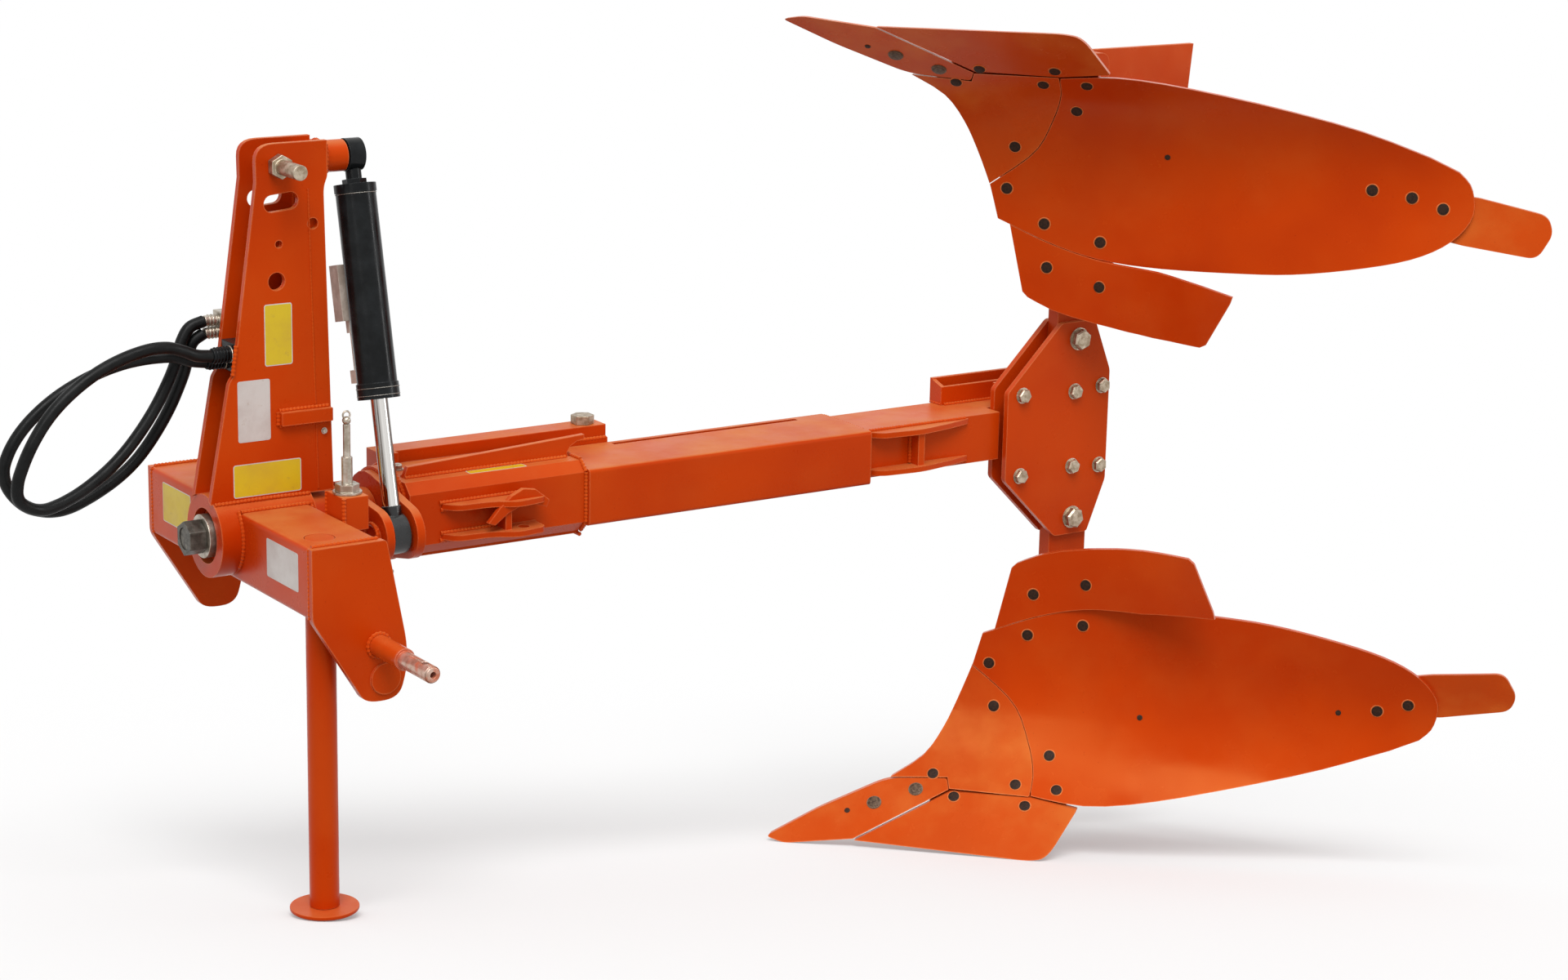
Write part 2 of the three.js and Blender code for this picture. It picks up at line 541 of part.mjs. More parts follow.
// The beam's end passes behind the clamp plates, and its near half stops at their edge.
function beamRearShape() {
  const { half, near, far, wall } = stub;
  const start = drawn.beamEnd + seat;
  const end = endBracket.rear;
  const step = octagon.left - seat;
  const behind = octagonBack() + endBracket.web + 2 * seat;
  const shape = outline([[start, near], [start, far], [end, far], [end, behind], [step, behind],
    [step, near]]);
  const inner = outline([[start - 1, near + wall], [start - 1, far - wall], [end + 1, far - wall],
    [end + 1, behind + wall], [step - wall, behind + wall], [step - wall, near + wall]]);
  return cut(plateAcrossZ(shape, -half, half), plateAcrossZ(inner, -half + wall, half - wall));
}

const octagonBack = () => octagon.nearFace + 2 * octagon.thickness + leg.thickness;

// The bolted web behind the far clamp plate, tied over the beam's end to a trough along its top.
function endBracketShape() {
  const { front, webFront, rear, web, near, nearTop, far, half, wall } = endBracket;
  const webNear = octagonBack() + seat;
  const low = stub.half + seat;
  const endWall = outline([[near, low], [far, low], [far, half], [near, nearTop]]);
  return join(box(webFront, rear, webNear, webNear + web, -half, half),
    box(leg.front, rear, webNear, near + wall, low, nearTop),
    box(front, rear, near, far, low, low + wall),
    box(front, rear, near, near + wall, low, nearTop),
    box(front, rear, far - wall, far, low, half),
    plateAcrossX(endWall, front, front + wall));
}

function adjustBarShape() {
  const { front, rear, near, far, bottom, top, footBottom, footLength } = adjustBar;
  const bar = box(front, rear, near, far, bottom, top);
  const foot = box(front, front + footLength, beamFront.far + seat, far, footBottom, top);
  const boltHole = rod('z', adjustBolt.radius + seat, bottom - 1, top + 1, adjustBolt.x, adjustBolt.y);
  return cut(join(bar, foot), boltHole);
}

function adjustBoltShape() {
  const { x, y, radius, head, headHeight, nutHeight } = adjustBolt;
  const nutTop = barLug.bottom - seat;
  return join(rod('z', radius, nutTop - nutHeight, adjustBar.top + 2, x, y, 24),
    rod('z', head, adjustBar.top + seat, adjustBar.top + headHeight, x, y, 6),
    rod('z', head - 1, nutTop - nutHeight, nutTop, x, y, 6));
}

// The pivot bracket on the near side of the beam's rear stub: two flat ears and an upright.
function rearBracketShape() {
  const near = stub.near - seat;
  const ear = outline([[1222, near], [1245, near - 26, 16], [1330, near - 34, 20], [1400, near - 20],
    [1455, near - 4, 6], [1450, near]]);
  return join(plateAcrossZ(ear, 32, 42), plateAcrossZ(ear, -38, -28),
    box(1325, 1339, near - 26, near, -30, 34));
}

function octagonShape() {
  const { left, right, topLeft, topRight, half, leftHalf, rightHalf } = octagon;
  return outline([[left, -leftHalf, 6], [topLeft, -half, 6], [topRight, -half, 6], [right, -rightHalf, 6],
    [right, rightHalf, 6], [topRight, half, 6], [topLeft, half, 6], [left, leftHalf, 6]]);
}

// ---------------------------------------------------------------- plough bodies
// The working face: a flat share, then a round curve up to the upright, with a twist towards the tail.
function faceAt(s, z) {
  const height = Math.max(z - face.edgeZ, -40);
  const straight = Math.min(height, face.shareHeight);
  const drop = face.curve * Math.sin(face.shareAngle);
  const above = THREE.MathUtils.clamp(height - face.shareHeight, 0, drop);
  const rise = Math.sqrt(face.curve ** 2 - (drop - above) ** 2) - face.curve * Math.cos(face.shareAngle);
  const slope = above > 0 ? (drop - above) / Math.sqrt(face.curve ** 2 - (drop - above) ** 2)
    : Math.tan(face.shareAngle);
  const turn = THREE.MathUtils.smoothstep(s, face.twistFrom, face.twistTo);
  const d = face.edgeD - Math.tan(face.shareAngle) * straight - rise + face.twist * turn * (z - face.twistZ);
  return { d, stretch: Math.sqrt(1 + slope ** 2) };
}

function curlAt(s) {
  const share = Math.max(0, (s - face.curlFrom) / (face.curlTo - face.curlFrom));
  return face.curl * share ** 2;
}

// All sheets share one lattice of facets, so that sheets laid on each other keep their gap.
const facet = { along: 60, up: 24 };

// A sheet behind the working face, from one depth to another, trimmed to an outline in (s, z).
function sheet(shape, front, back, curled = false) {
  const points = shape.getPoints(6);
  const range = new THREE.Box2().setFromPoints(points);
  const down = (value, step) => Math.floor((value - 1) / step) * step;
  const over = (value, step) => Math.ceil((value + 1) / step) * step;
  const [s0, s1] = [down(range.min.x, facet.along), over(range.max.x, facet.along)];
  const [z0, z1] = [down(range.min.y, facet.up), over(range.max.y, facet.up)];
  const across = Math.round((s1 - s0) / facet.along);
  const upward = Math.round((z1 - z0) / facet.up);
  const slab = new THREE.BoxGeometry(s1 - s0, 1, z1 - z0, across, 1, upward);
  slab.translate((s0 + s1) / 2, 0, (z0 + z1) / 2);
  const place = slab.attributes.position;
  for (let index = 0; index < place.count; index += 1) {
    const s = place.getX(index);
    const z = place.getZ(index);
    const depth = place.getY(index) > 0 ? front : back;
    const { d, stretch } = faceAt(s, z);
    place.setY(index, d - depth * stretch + (curled ? curlAt(s) : 0));
  }
  return common(slab, plateAcrossY(shape, -1400, -600));
}

const curveThrough = (points, count) =>
  new THREE.SplineCurve(points.map(([s, z]) => new THREE.Vector2(s, z))).getPoints(count);

// Outlines of the wearing plates. The seams are shared curves, and each plate keeps half of the gap.
function bodyOutlines() {
  const shinEdge = [[898, -670], [953, -632], [984, -583], [1006, -529], [1029, -465]];
  const shinSeam = [[1030, -463], [1113, -527], [1150, -592], [1168, -641], [1169, -676]];
  const boardTop = [[1047, -400], [1151, -358], [1244, -334], [1352, -325], [1490, -326], [1597, -332],
    [1719, -352], [1810, -376], [1872, -410], [1905, -455], [1900, -504], [1876, -532]];
  const boardLow = [[1824, -556], [1678, -606], [1457, -658], [1293, -683], [1175, -678]];
  const trashLow = [[1070, -391], ...boardTop.slice(1, 4)].map(([s, z]) => [s, z + seam]);
  const closed = (...lists) => new THREE.Shape(lists.flat());
  const at = (s, z) => new THREE.Vector2(s, z);
  return {
    point: outline([[684, -772, 10], [722, -779, 12], [851, -763], [1013, -680], [1006, -664, 6],
      [893, -672, 30],
      [770, -726, 20]]),
    share: outline([[853 + seam, -765], [1188, -768, 20], [1222, -762, 26], [1262, -690, 4], [1172, -680],
      [1015 + seam, -682 - seam]]),
    shin: closed(curveThrough(shinEdge, 12),
      curveThrough(shinSeam.map(([s, z]) => [s - seam, z - seam]), 14), [at(1166, -678.5), at(1014, -678.5),
        at(1007, -662), at(994, -663)]),
    board: closed(curveThrough(boardTop, 40), curveThrough(boardLow, 14).slice(0, -1), [at(1171, -677)],
      curveThrough([...shinSeam].reverse(), 14).slice(1)),
    trash: closed(curveThrough(trashLow, 12), [at(1498, -301), at(1494, -288), at(1452, -206), at(1440, -199)],
      curveThrough([[1431, -199], [1316, -205], [1177, -228], [1108, -256]], 8), [at(1098, -266)]),
    tail: outline([[1690, -500, 16], [1912, -487, 6], [2036, -462, 18], [2047, -431, 14], [2022, -386, 18],
      [1890, -402, 6], [1700, -440, 16]]),
    frog: outline([[905, -690, 10], [1000, -704], [1236, -704, 14], [1250, -560], [1262, -400],
      [1262, -270, 12],
      [1120, -270, 12], [1122, -396], [1062, -430, 14], [1048, -520], [985, -640]]),
  };
}

function buildBody(name, up, legFar) {
  const outlines = bodyOutlines();
  const toPlough = new THREE.Matrix4().makeBasis(
    new THREE.Vector3(Math.cos(bodyAngle), -Math.sin(bodyAngle), 0),
    new THREE.Vector3(-Math.sin(bodyAngle), -Math.cos(bodyAngle), 0),
    new THREE.Vector3(0, 0, 1));
  // The body frame is left-handed, so each sheet is turned over as it is placed.
  const placed = (geometry) => flip(geometry.applyMatrix4(toPlough));
  const lower = (geometry) => (up < 0 ? geometry : flip(geometry.scale(1, 1, -1)));
  const put = (piece, geometry) => addRear(`${piece}_${name}`,
    lower(geometry.translate(0, 0, drawn.legReach - leg.outer)));

  const backOf = (thickness) => thickness + seat;
  put('share_point', placed(sheet(outlines.point, 0, plate.wearing)));
  put('share', placed(sheet(outlines.share, 0, plate.wearing)));
  put('shin', placed(sheet(outlines.shin, 0, plate.wearing)));
  put('mouldboard', placed(sheet(outlines.board, 0, plate.wearing)));
  put('trashboard', placed(sheet(outlines.trash, 0, plate.wearing, true)));
  const tailFront = backOf(plate.wearing);
  put('tailpiece', placed(sheet(outlines.tail, tailFront, tailFront + plate.tail)));

  const frogFront = backOf(plate.wearing);
  const frogBack = frogFront + plate.frog;
  const frogSheet = placed(sheet(outlines.frog, frogFront, frogBack));
  const sidePlate = outline([[1560, -698], [1770, -698, 20], [1770, -520, 30], [1690, -400, 30], [1600, -400],
    [1560, -440]]);
  const cheek = plateAcrossY(sidePlate, legFar + seat, landside.near - seat);
  const wholeFace = outline([[500, -900], [2200, -900], [2200, -100], [500, -100]]);
  const inFront = placed(sheet(wholeFace, -400, frogFront));
  put('frog', join(frogSheet, cut(cheek, inFront)));

  const sole = outline([[landside.front, landside.bottom], [landside.rear, landside.bottom],
    [landside.rear - 12, landside.top, 12], [landside.front + 60, landside.top, 10]]);
  const bar = plateAcrossY(sole, landside.near, landside.near + landside.thickness);
  put('landside', bar);

  const stayFrom = new THREE.Vector3(landside.rear - 150, landside.near - 8, landside.top - 30);
  const stayTo = new THREE.Vector3(2045, -540, -478);
  const stay = cut(strut(stayFrom, stayTo, 11), inFrontOfTail(placed));
  const pad = box(stayFrom.x - 30, stayFrom.x + 30, landside.near - seat - 8, landside.near - seat,
    stayFrom.z - 28, stayFrom.z + 22);
  put('mouldboard_stay', join(cut(stay, box(1600, 2200, landside.near - seat, 60, -800, -300)), pad));
}

function inFrontOfTail(placed) {
  const depth = plate.wearing + plate.tail + 2 * seat;
  return placed(sheet(outline([[1500, -640], [2100, -640], [2100, -300], [1500, -300]]), -300, depth));
}

// A round bar between two points.
function strut(from, to, radius) {
  const length = from.distanceTo(to);
  const bar = new THREE.CylinderGeometry(radius, radius, length, 20);
  const turn = new THREE.Quaternion().setFromUnitVectors(
    new THREE.Vector3(0, 1, 0), to.clone().sub(from).normalize());
  bar.applyQuaternion(turn);
  const middle = from.clone().add(to).multiplyScalar(0.5);
  return bar.translate(middle.x, middle.y, middle.z);
}

buildHeadstock();
buildCylinder();
buildRotor();

// ---------------------------------------------------------------- parked on the floor
// The floor touches the lowest point of the lower share, the lowest of its wing and the stand's foot.
function lowestAlong(meshes, normal) {
  let best = null;
  const point = new THREE.Vector3();
  for (const mesh of meshes) {
    const place = mesh.geometry.attributes.position;
    for (let index = 0; index < place.count; index += 1) {
      point.fromBufferAttribute(place, index);
      if (!best || point.dot(normal) < best.dot(normal)) best = point.clone();
    }
  }
  return best;
}

function floorNormal() {
  const named = (name) => plough.children.filter((child) => child.name === name);
  let normal = new THREE.Vector3(0.14, 0.14, 1).normalize();
  for (let round = 0; round < 12; round += 1) {
    const tip = lowestAlong(named('share_point_lower'), normal);
    const wing = lowestAlong(named('share_lower'), normal);
    const foot = lowestAlong(named('stand_foot'), normal);
    normal = wing.sub(tip).cross(foot.sub(tip)).normalize();
    if (normal.z < 0) normal.negate();
  }
  return normal;
}

const parked = new THREE.Group();
const up = new THREE.Vector3(0, 0, 1);
plough.quaternion.setFromUnitVectors(floorNormal(), up);
parked.add(plough);
plough.updateMatrixWorld(true);

const extent = new THREE.Box3();
plough.traverse((node) => {
  if (node.isMesh && !node.name.startsWith('hose_a') && !node.name.startsWith('hose_b')) {
    extent.expandByObject(node, true);
  }
});
const centre = extent.getCenter(new THREE.Vector3());
plough.position.sub(new THREE.Vector3(centre.x, centre.y, extent.min.z));

export default parked;
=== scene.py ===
# A two-way mouldboard plough for a tractor's three-point hitch, parked on its lower share and its stand.
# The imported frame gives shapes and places. This script adds finishes, fasteners, welds, stickers and hoses.
import json
import math

import bmesh
import bpy
from mathutils import Matrix, Vector


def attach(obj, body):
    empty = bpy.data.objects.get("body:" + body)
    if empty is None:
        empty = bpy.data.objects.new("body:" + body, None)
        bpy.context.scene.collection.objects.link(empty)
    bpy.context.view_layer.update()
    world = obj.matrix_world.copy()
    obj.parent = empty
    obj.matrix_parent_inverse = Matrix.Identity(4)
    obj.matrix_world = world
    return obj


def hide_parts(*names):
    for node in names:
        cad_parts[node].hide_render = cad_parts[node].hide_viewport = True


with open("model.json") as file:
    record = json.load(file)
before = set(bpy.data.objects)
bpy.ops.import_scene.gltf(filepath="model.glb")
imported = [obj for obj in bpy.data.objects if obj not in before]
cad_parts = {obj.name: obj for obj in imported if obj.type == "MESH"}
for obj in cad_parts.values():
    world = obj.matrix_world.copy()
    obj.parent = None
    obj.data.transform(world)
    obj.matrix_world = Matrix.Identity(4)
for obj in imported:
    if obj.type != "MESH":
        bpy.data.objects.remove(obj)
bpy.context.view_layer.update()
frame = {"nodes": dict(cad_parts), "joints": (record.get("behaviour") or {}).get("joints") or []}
nodes = frame["nodes"]
joints = {joint["name"]: joint for joint in frame["joints"]}
scene = bpy.context.scene
print("frame loaded:", len(nodes), "nodes")

# The plough's own axes: x rearwards from the cross box, y to its right, z up, zero on the turnover axis.
# Places below are in those axes, in millimetres.
turnoverJointX = 0.2
rearward = -Vector(joints["turnover"]["axis"]).normalized()
upward = Vector(joints["stand_slide"]["axis"]).normalized()
rightward = upward.cross(rearward)
ploughFrame = Matrix((rearward, rightward, upward)).transposed().to_4x4()
ploughFrame.translation = Vector(joints["turnover"]["pos_m"]) - rearward * turnoverJointX


def at(x, y, z):
    return ploughFrame @ Vector((x / 1000, y / 1000, z / 1000))


def along(x, y, z):  # a direction in the plough's axes
    return (ploughFrame.to_3x3() @ Vector((x, y, z))).normalized()


# Camera.
camera = dict(x=-2171, y=-4815, z=1421, yaw=34.138, pitch=14.330, roll=1.2255, lens=76.13, sensor=36)


def placeCamera():
    yaw, pitch, roll = (math.radians(camera[name]) for name in ("yaw", "pitch", "roll"))
    ahead = Vector((math.sin(yaw) * math.cos(pitch), math.cos(yaw) * math.cos(pitch), -math.sin(pitch)))
    level = ahead.cross(Vector((0, 0, 1))).normalized()
    steep = level.cross(ahead)
    right = math.cos(roll) * level + math.sin(roll) * steep
    over = -math.sin(roll) * level + math.cos(roll) * steep
    turned = Matrix((right, over, -ahead)).transposed().to_4x4()
    data = bpy.data.cameras.new("studioCamera")
    data.lens = camera["lens"]
    data.sensor_width = camera["sensor"]
    data.clip_end = 200
    studio = bpy.data.objects.new("studioCamera", data)
    studio.matrix_world = ploughFrame.to_3x3().to_4x4() @ turned
    studio.location = at(camera["x"], camera["y"], camera["z"])
    scene.collection.objects.link(studio)
    scene.camera = studio


placeCamera()
print("camera placed")


# Making finishes.
def newFinish(name):
    finish = bpy.data.materials.new(name)
    finish.use_nodes = True
    tree = finish.node_tree
    tree.nodes.clear()
    output = tree.nodes.new("ShaderNodeOutputMaterial")
    surface = tree.nodes.new("ShaderNodeBsdfPrincipled")
    tree.links.new(surface.outputs["BSDF"], output.inputs["Surface"])
    return finish, tree, surface


def put(tree, kind, inputs=None, out=0, **settings):  # one node, wired or set, and the output asked for
    node = tree.nodes.new(kind)
    for name, value in settings.items():
        setattr(node, name, value)
    for socket, value in (inputs or {}).items():
        if isinstance(value, bpy.types.NodeSocket):
            tree.links.new(value, node.inputs[socket])
        else:
            node.inputs[socket].default_value = value
    return node.outputs[out]


def speckle(tree, place, scale, detail=3, roughness=0.5):
    return put(tree, "ShaderNodeTexNoise",
               {"Vector": place, "Scale": scale, "Detail": detail, "Roughness": roughness}, "Fac")


def between(tree, value, low, high, toLow=0.0, toHigh=1.0):
    return put(tree, "ShaderNodeMapRange", {"Value": value, "From Min": low, "From Max": high,
                                            "To Min": toLow, "To Max": toHigh},
               "Result", interpolation_type="SMOOTHSTEP")


def times(tree, first, second):
    return put(tree, "ShaderNodeMath", {0: first, 1: second}, operation="MULTIPLY")


def plus(tree, first, second):
    return put(tree, "ShaderNodeMath", {0: first, 1: second}, operation="ADD", use_clamp=True)


def blendColour(tree, share, first, second):
    return put(tree, "ShaderNodeMix", {0: share, 6: first, 7: second}, 2, data_type="RGBA")


def pieceNormal(tree):
    return put(tree, "ShaderNodeTexCoord", out="Normal")


def pieceCoordinates(tree):
    return put(tree, "ShaderNodeTexCoord", out="Object")


def facingShare(tree, direction, low, high):
    towards = put(tree, "ShaderNodeVectorMath", {0: pieceNormal(tree), 1: tuple(direction)}, "Value",
                  operation="DOT_PRODUCT")
    return between(tree, towards, low, high)


def edgeShare(tree, radius, low=0.04, high=0.30):  # 1 on sharp outer edges, 0 on flats
    rounded = put(tree, "ShaderNodeBevel", {"Radius": radius}, samples=4)
    plain = put(tree, "ShaderNodeNewGeometry", out="Normal")
    same = put(tree, "ShaderNodeVectorMath", {0: rounded, 1: plain}, "Value", operation="DOT_PRODUCT")
    return between(tree, same, 1 - low, 1 - high)


def distanceAlong(tree, place, start, direction):  # metres from a point, along a direction
    offset = put(tree, "ShaderNodeVectorMath", {0: place, 1: tuple(start)}, operation="SUBTRACT")
    return put(tree, "ShaderNodeVectorMath", {0: offset, 1: tuple(direction)}, "Value",
               operation="DOT_PRODUCT")


def raised(tree, surface, layers):  # bumps: a list of (height, distance in metres, strength)
    normal = None
    for height, distance, strength in layers:
        inputs = {"Height": height, "Distance": distance, "Strength": strength}
        if normal is not None:
            inputs["Normal"] = normal
        normal = put(tree, "ShaderNodeBump", inputs)
    tree.links.new(normal, surface.inputs["Normal"])


# Orange enamel.
# Enamel colours: the peach patch colour is painted sheen, partly scuffs; the pale edge colour is edge wear
# with a painted highlight; the tan colour on upward faces is dust with painted sheen from above
enamelColours = dict(base=(0.545, 0.044, 0.0012, 1), deep=(0.465, 0.030, 0.0010, 1),
                     edge=(0.78, 0.26, 0.10, 1), dustAndSheen=(0.60, 0.215, 0.060, 1),
                     sheenAndScuffs=(0.60, 0.120, 0.018, 1), red=(0.30, 0.010, 0.001, 1))
enamelLooks = {
    "frameEnamel": dict(rough=0.30, dustAndSheen=0.62, sheenAndScuffs=0.10, edge=0.80, wave=0.06, evenSheenAndScuffs=0.0),
    "boardEnamel": dict(rough=0.20, dustAndSheen=0.10, sheenAndScuffs=0.12, edge=0.70, wave=0.07, evenSheenAndScuffs=0.0),
    "shareEnamel": dict(rough=0.22, dustAndSheen=0.25, sheenAndScuffs=0.60, edge=0.75, wave=0.06, evenSheenAndScuffs=0.20),
    "standEnamel": dict(rough=0.32, dustAndSheen=0.35, sheenAndScuffs=0.15, edge=0.55, wave=0.08, evenSheenAndScuffs=0.0),
    "weldEnamel": dict(rough=0.34, dustAndSheen=0.40, sheenAndScuffs=0.30, edge=0.05, wave=0.45, evenSheenAndScuffs=0.12),
    # the bolt rims: nearly all painted sheen, with a strong painted edge highlight
    "boltRimHighlight": dict(rough=0.30, dustAndSheen=0.30, sheenAndScuffs=0.30, edge=0.90, wave=0.20, evenSheenAndScuffs=0.75),
}
enamelGloss = dict(level=0.24, tint=(1.0, 0.58, 0.16, 1))  # the clear of this enamel gives a warm shine
enamelGrain = dict(cloud=3.2, sheenAndScuffs=5.5, dustAndSheen=11, chips=60, specks=190, smudge=14, waves=5, grit=420)
enamelWear = dict(edgeRadius=0.0035, specks=0.5, dustRough=0.30, waveDepth=0.004, gritDepth=0.0003, grit=0.10)


def orangeEnamel(tree, surface, look):
    place = pieceCoordinates(tree)
    grain, wear = enamelGrain, enamelWear
    cloud = between(tree, speckle(tree, place, grain["cloud"], 3), 0.32, 0.68)
    tone = blendColour(tree, cloud, enamelColours["deep"], enamelColours["base"])
    # painted sheen: noisy peach patches stand in for soft reflections on the enamel, partly scuffs
    sheenAndScuffs = times(tree, between(tree, speckle(tree, place, grain["sheenAndScuffs"], 4, 0.55), 0.42, 0.70), look["sheenAndScuffs"])
    # an even share of that painted sheen, large on the share and on the bolt rims
    if look["evenSheenAndScuffs"]:
        sheenAndScuffs = plus(tree, sheenAndScuffs, look["evenSheenAndScuffs"])
    tone = blendColour(tree, sheenAndScuffs, tone, enamelColours["sheenAndScuffs"])
    # faces turned upwards get a lighter tan: dust, and painted sheen from the sky above
    upFacing = facingShare(tree, upward, 0.62, 0.97)
    patches = between(tree, speckle(tree, place, grain["dustAndSheen"], 5, 0.6), 0.28, 0.72, 0.45, 1.0)
    dustAndSheen = times(tree, times(tree, upFacing, patches), look["dustAndSheen"])
    tone = blendColour(tree, dustAndSheen, tone, enamelColours["dustAndSheen"])
    # edges lighter: paint worn through in chips, and a painted highlight along the rounded edges
    chips = between(tree, speckle(tree, place, grain["chips"], 4, 0.7), 0.30, 0.62, 0.55, 1.0)
    wornAndHighlit = times(tree, times(tree, edgeShare(tree, wear["edgeRadius"]), chips), look["edge"])
    tone = blendColour(tree, wornAndHighlit, tone, enamelColours["edge"])
    specks = between(tree, speckle(tree, place, grain["specks"], 2, 0.6), 0.70, 0.78)
    tone = blendColour(tree, times(tree, specks, wear["specks"]), tone, enamelColours["red"])
    tree.links.new(tone, surface.inputs["Base Color"])
    smudge = between(tree, speckle(tree, place, grain["smudge"], 4, 0.6), 0.3, 0.7,
                     look["rough"] - 0.05, look["rough"] + 0.09)
    tree.links.new(plus(tree, smudge, times(tree, dustAndSheen, wear["dustRough"])), surface.inputs["Roughness"])
    surface.inputs["Specular IOR Level"].default_value = enamelGloss["level"]
    surface.inputs["Specular Tint"].default_value = enamelGloss["tint"]
    raised(tree, surface, [(speckle(tree, place, grain["waves"], 2), wear["waveDepth"], look["wave"]),
                           (speckle(tree, place, grain["grit"], 2), wear["gritDepth"], wear["grit"])])
    return tone


finishes = {}
for name, look in enamelLooks.items():
    finish, tree, surface = newFinish(name)
    orangeEnamel(tree, surface, look)
    finishes[name] = finish


# Bare and plated metals.
metalLooks = {
    "zincPlate": dict(colour=(0.52, 0.47, 0.40, 1), dark=(0.30, 0.25, 0.19, 1), edge=(0.86, 0.82, 0.76, 1),
                      rough=0.34, metallic=0.85, grain=55, gloss=0.5),
    "boltZinc": dict(colour=(0.50, 0.42, 0.32, 1), dark=(0.27, 0.20, 0.13, 1), edge=(0.84, 0.78, 0.70, 1),
                     rough=0.36, metallic=0.80, grain=90, gloss=0.5),
    "darkNut": dict(colour=(0.115, 0.105, 0.088, 1), dark=(0.05, 0.045, 0.036, 1), edge=(0.60, 0.57, 0.52, 1),
                    rough=0.42, metallic=0.60, grain=70, gloss=0.5),
    "paleCasting": dict(colour=(0.66, 0.57, 0.49, 1), dark=(0.46, 0.37, 0.30, 1), edge=(0.86, 0.80, 0.74, 1),
                        rough=0.55, metallic=0.15, grain=38, gloss=0.5),
    "boltDark": dict(colour=(0.030, 0.014, 0.008, 1), dark=(0.008, 0.005, 0.004, 1),
                     edge=(0.10, 0.045, 0.025, 1), rough=0.46, metallic=0.0, grain=260, gloss=0.10),
    "boltGrey": dict(colour=(0.13, 0.085, 0.055, 1), dark=(0.045, 0.026, 0.016, 1),
                     edge=(0.30, 0.20, 0.13, 1), rough=0.45, metallic=0.25, grain=220, gloss=0.15),
}


def makeMetal(name, look):
    finish, tree, surface = newFinish(name)
    place = pieceCoordinates(tree)
    patches = between(tree, speckle(tree, place, look["grain"], 4, 0.6), 0.35, 0.68)
    tone = blendColour(tree, patches, look["dark"], look["colour"])
    # lighter edges: edge wear and a painted highlight
    tone = blendColour(tree, times(tree, edgeShare(tree, 0.002), 0.8), tone, look["edge"])
    tree.links.new(tone, surface.inputs["Base Color"])
    spread = between(tree, speckle(tree, place, look["grain"] * 2.3, 3, 0.6), 0.3, 0.7,
                     look["rough"] - 0.06, look["rough"] + 0.10)
    tree.links.new(spread, surface.inputs["Roughness"])
    surface.inputs["Metallic"].default_value = look["metallic"]
    surface.inputs["Specular IOR Level"].default_value = look["gloss"]
    raised(tree, surface, [(speckle(tree, place, 300, 3), 0.0004, 0.18)])
    finishes[name] = finish


for name, look in metalLooks.items():
    makeMetal(name, look)


# Black enamel, and the cylinder's rod.
# The lighter black on edges is edge wear with a painted highlight; the grey on upward faces is dust with
# painted sheen
blackLook = dict(deep=(0.0045, 0.0052, 0.0056, 1), base=(0.0105, 0.0120, 0.0130, 1),
                 edge=(0.055, 0.062, 0.066, 1), dustAndSheen=(0.06, 0.06, 0.055, 1), gloss=0.14)
cylinder = dict(x=233, pivotZ=604, crank=140)  # its line, its top pivot and the reach of the crank pin
# the chrome is coloured with dark and bright streaks along the rod: painted reflections
chromeLook = dict(blackUpTo=0.0455, brightFrom=0.0470, streaks=120, paintedDarkStreak=(0.20, 0.18, 0.165, 1),
                  bright=(0.74, 0.72, 0.69, 1), enamelRough=0.16)
rodSlide = Vector(joints["rod_slide"]["axis"]).normalized()
rodEyeCentre = at(cylinder["x"], -cylinder["crank"], 0)


def blackGloss(tree):
    place = pieceCoordinates(tree)
    cloud = between(tree, speckle(tree, place, 30, 4, 0.6), 0.35, 0.70)
    tone = blendColour(tree, cloud, blackLook["deep"], blackLook["base"])
    # lighter edges: edge wear and a painted highlight
    tone = blendColour(tree, times(tree, edgeShare(tree, 0.0025), 0.6), tone, blackLook["edge"])
    # grey on upward faces: dust and painted sheen
    dustAndSheen = times(tree, facingShare(tree, upward, 0.7, 1.0), 0.25)
    return blendColour(tree, dustAndSheen, tone, blackLook["dustAndSheen"]), place


def makeBlackEnamel():
    finish, tree, surface = newFinish("blackEnamel")
    tone, place = blackGloss(tree)
    tree.links.new(tone, surface.inputs["Base Color"])
    smudge = between(tree, speckle(tree, place, 26, 4, 0.6), 0.3, 0.7, 0.16, 0.30)
    tree.links.new(smudge, surface.inputs["Roughness"])
    surface.inputs["Specular IOR Level"].default_value = blackLook["gloss"]
    raised(tree, surface, [(speckle(tree, place, 18, 2), 0.002, 0.12),
                           (speckle(tree, place, 500, 2), 0.0003, 0.08)])
    finishes["blackEnamel"] = finish


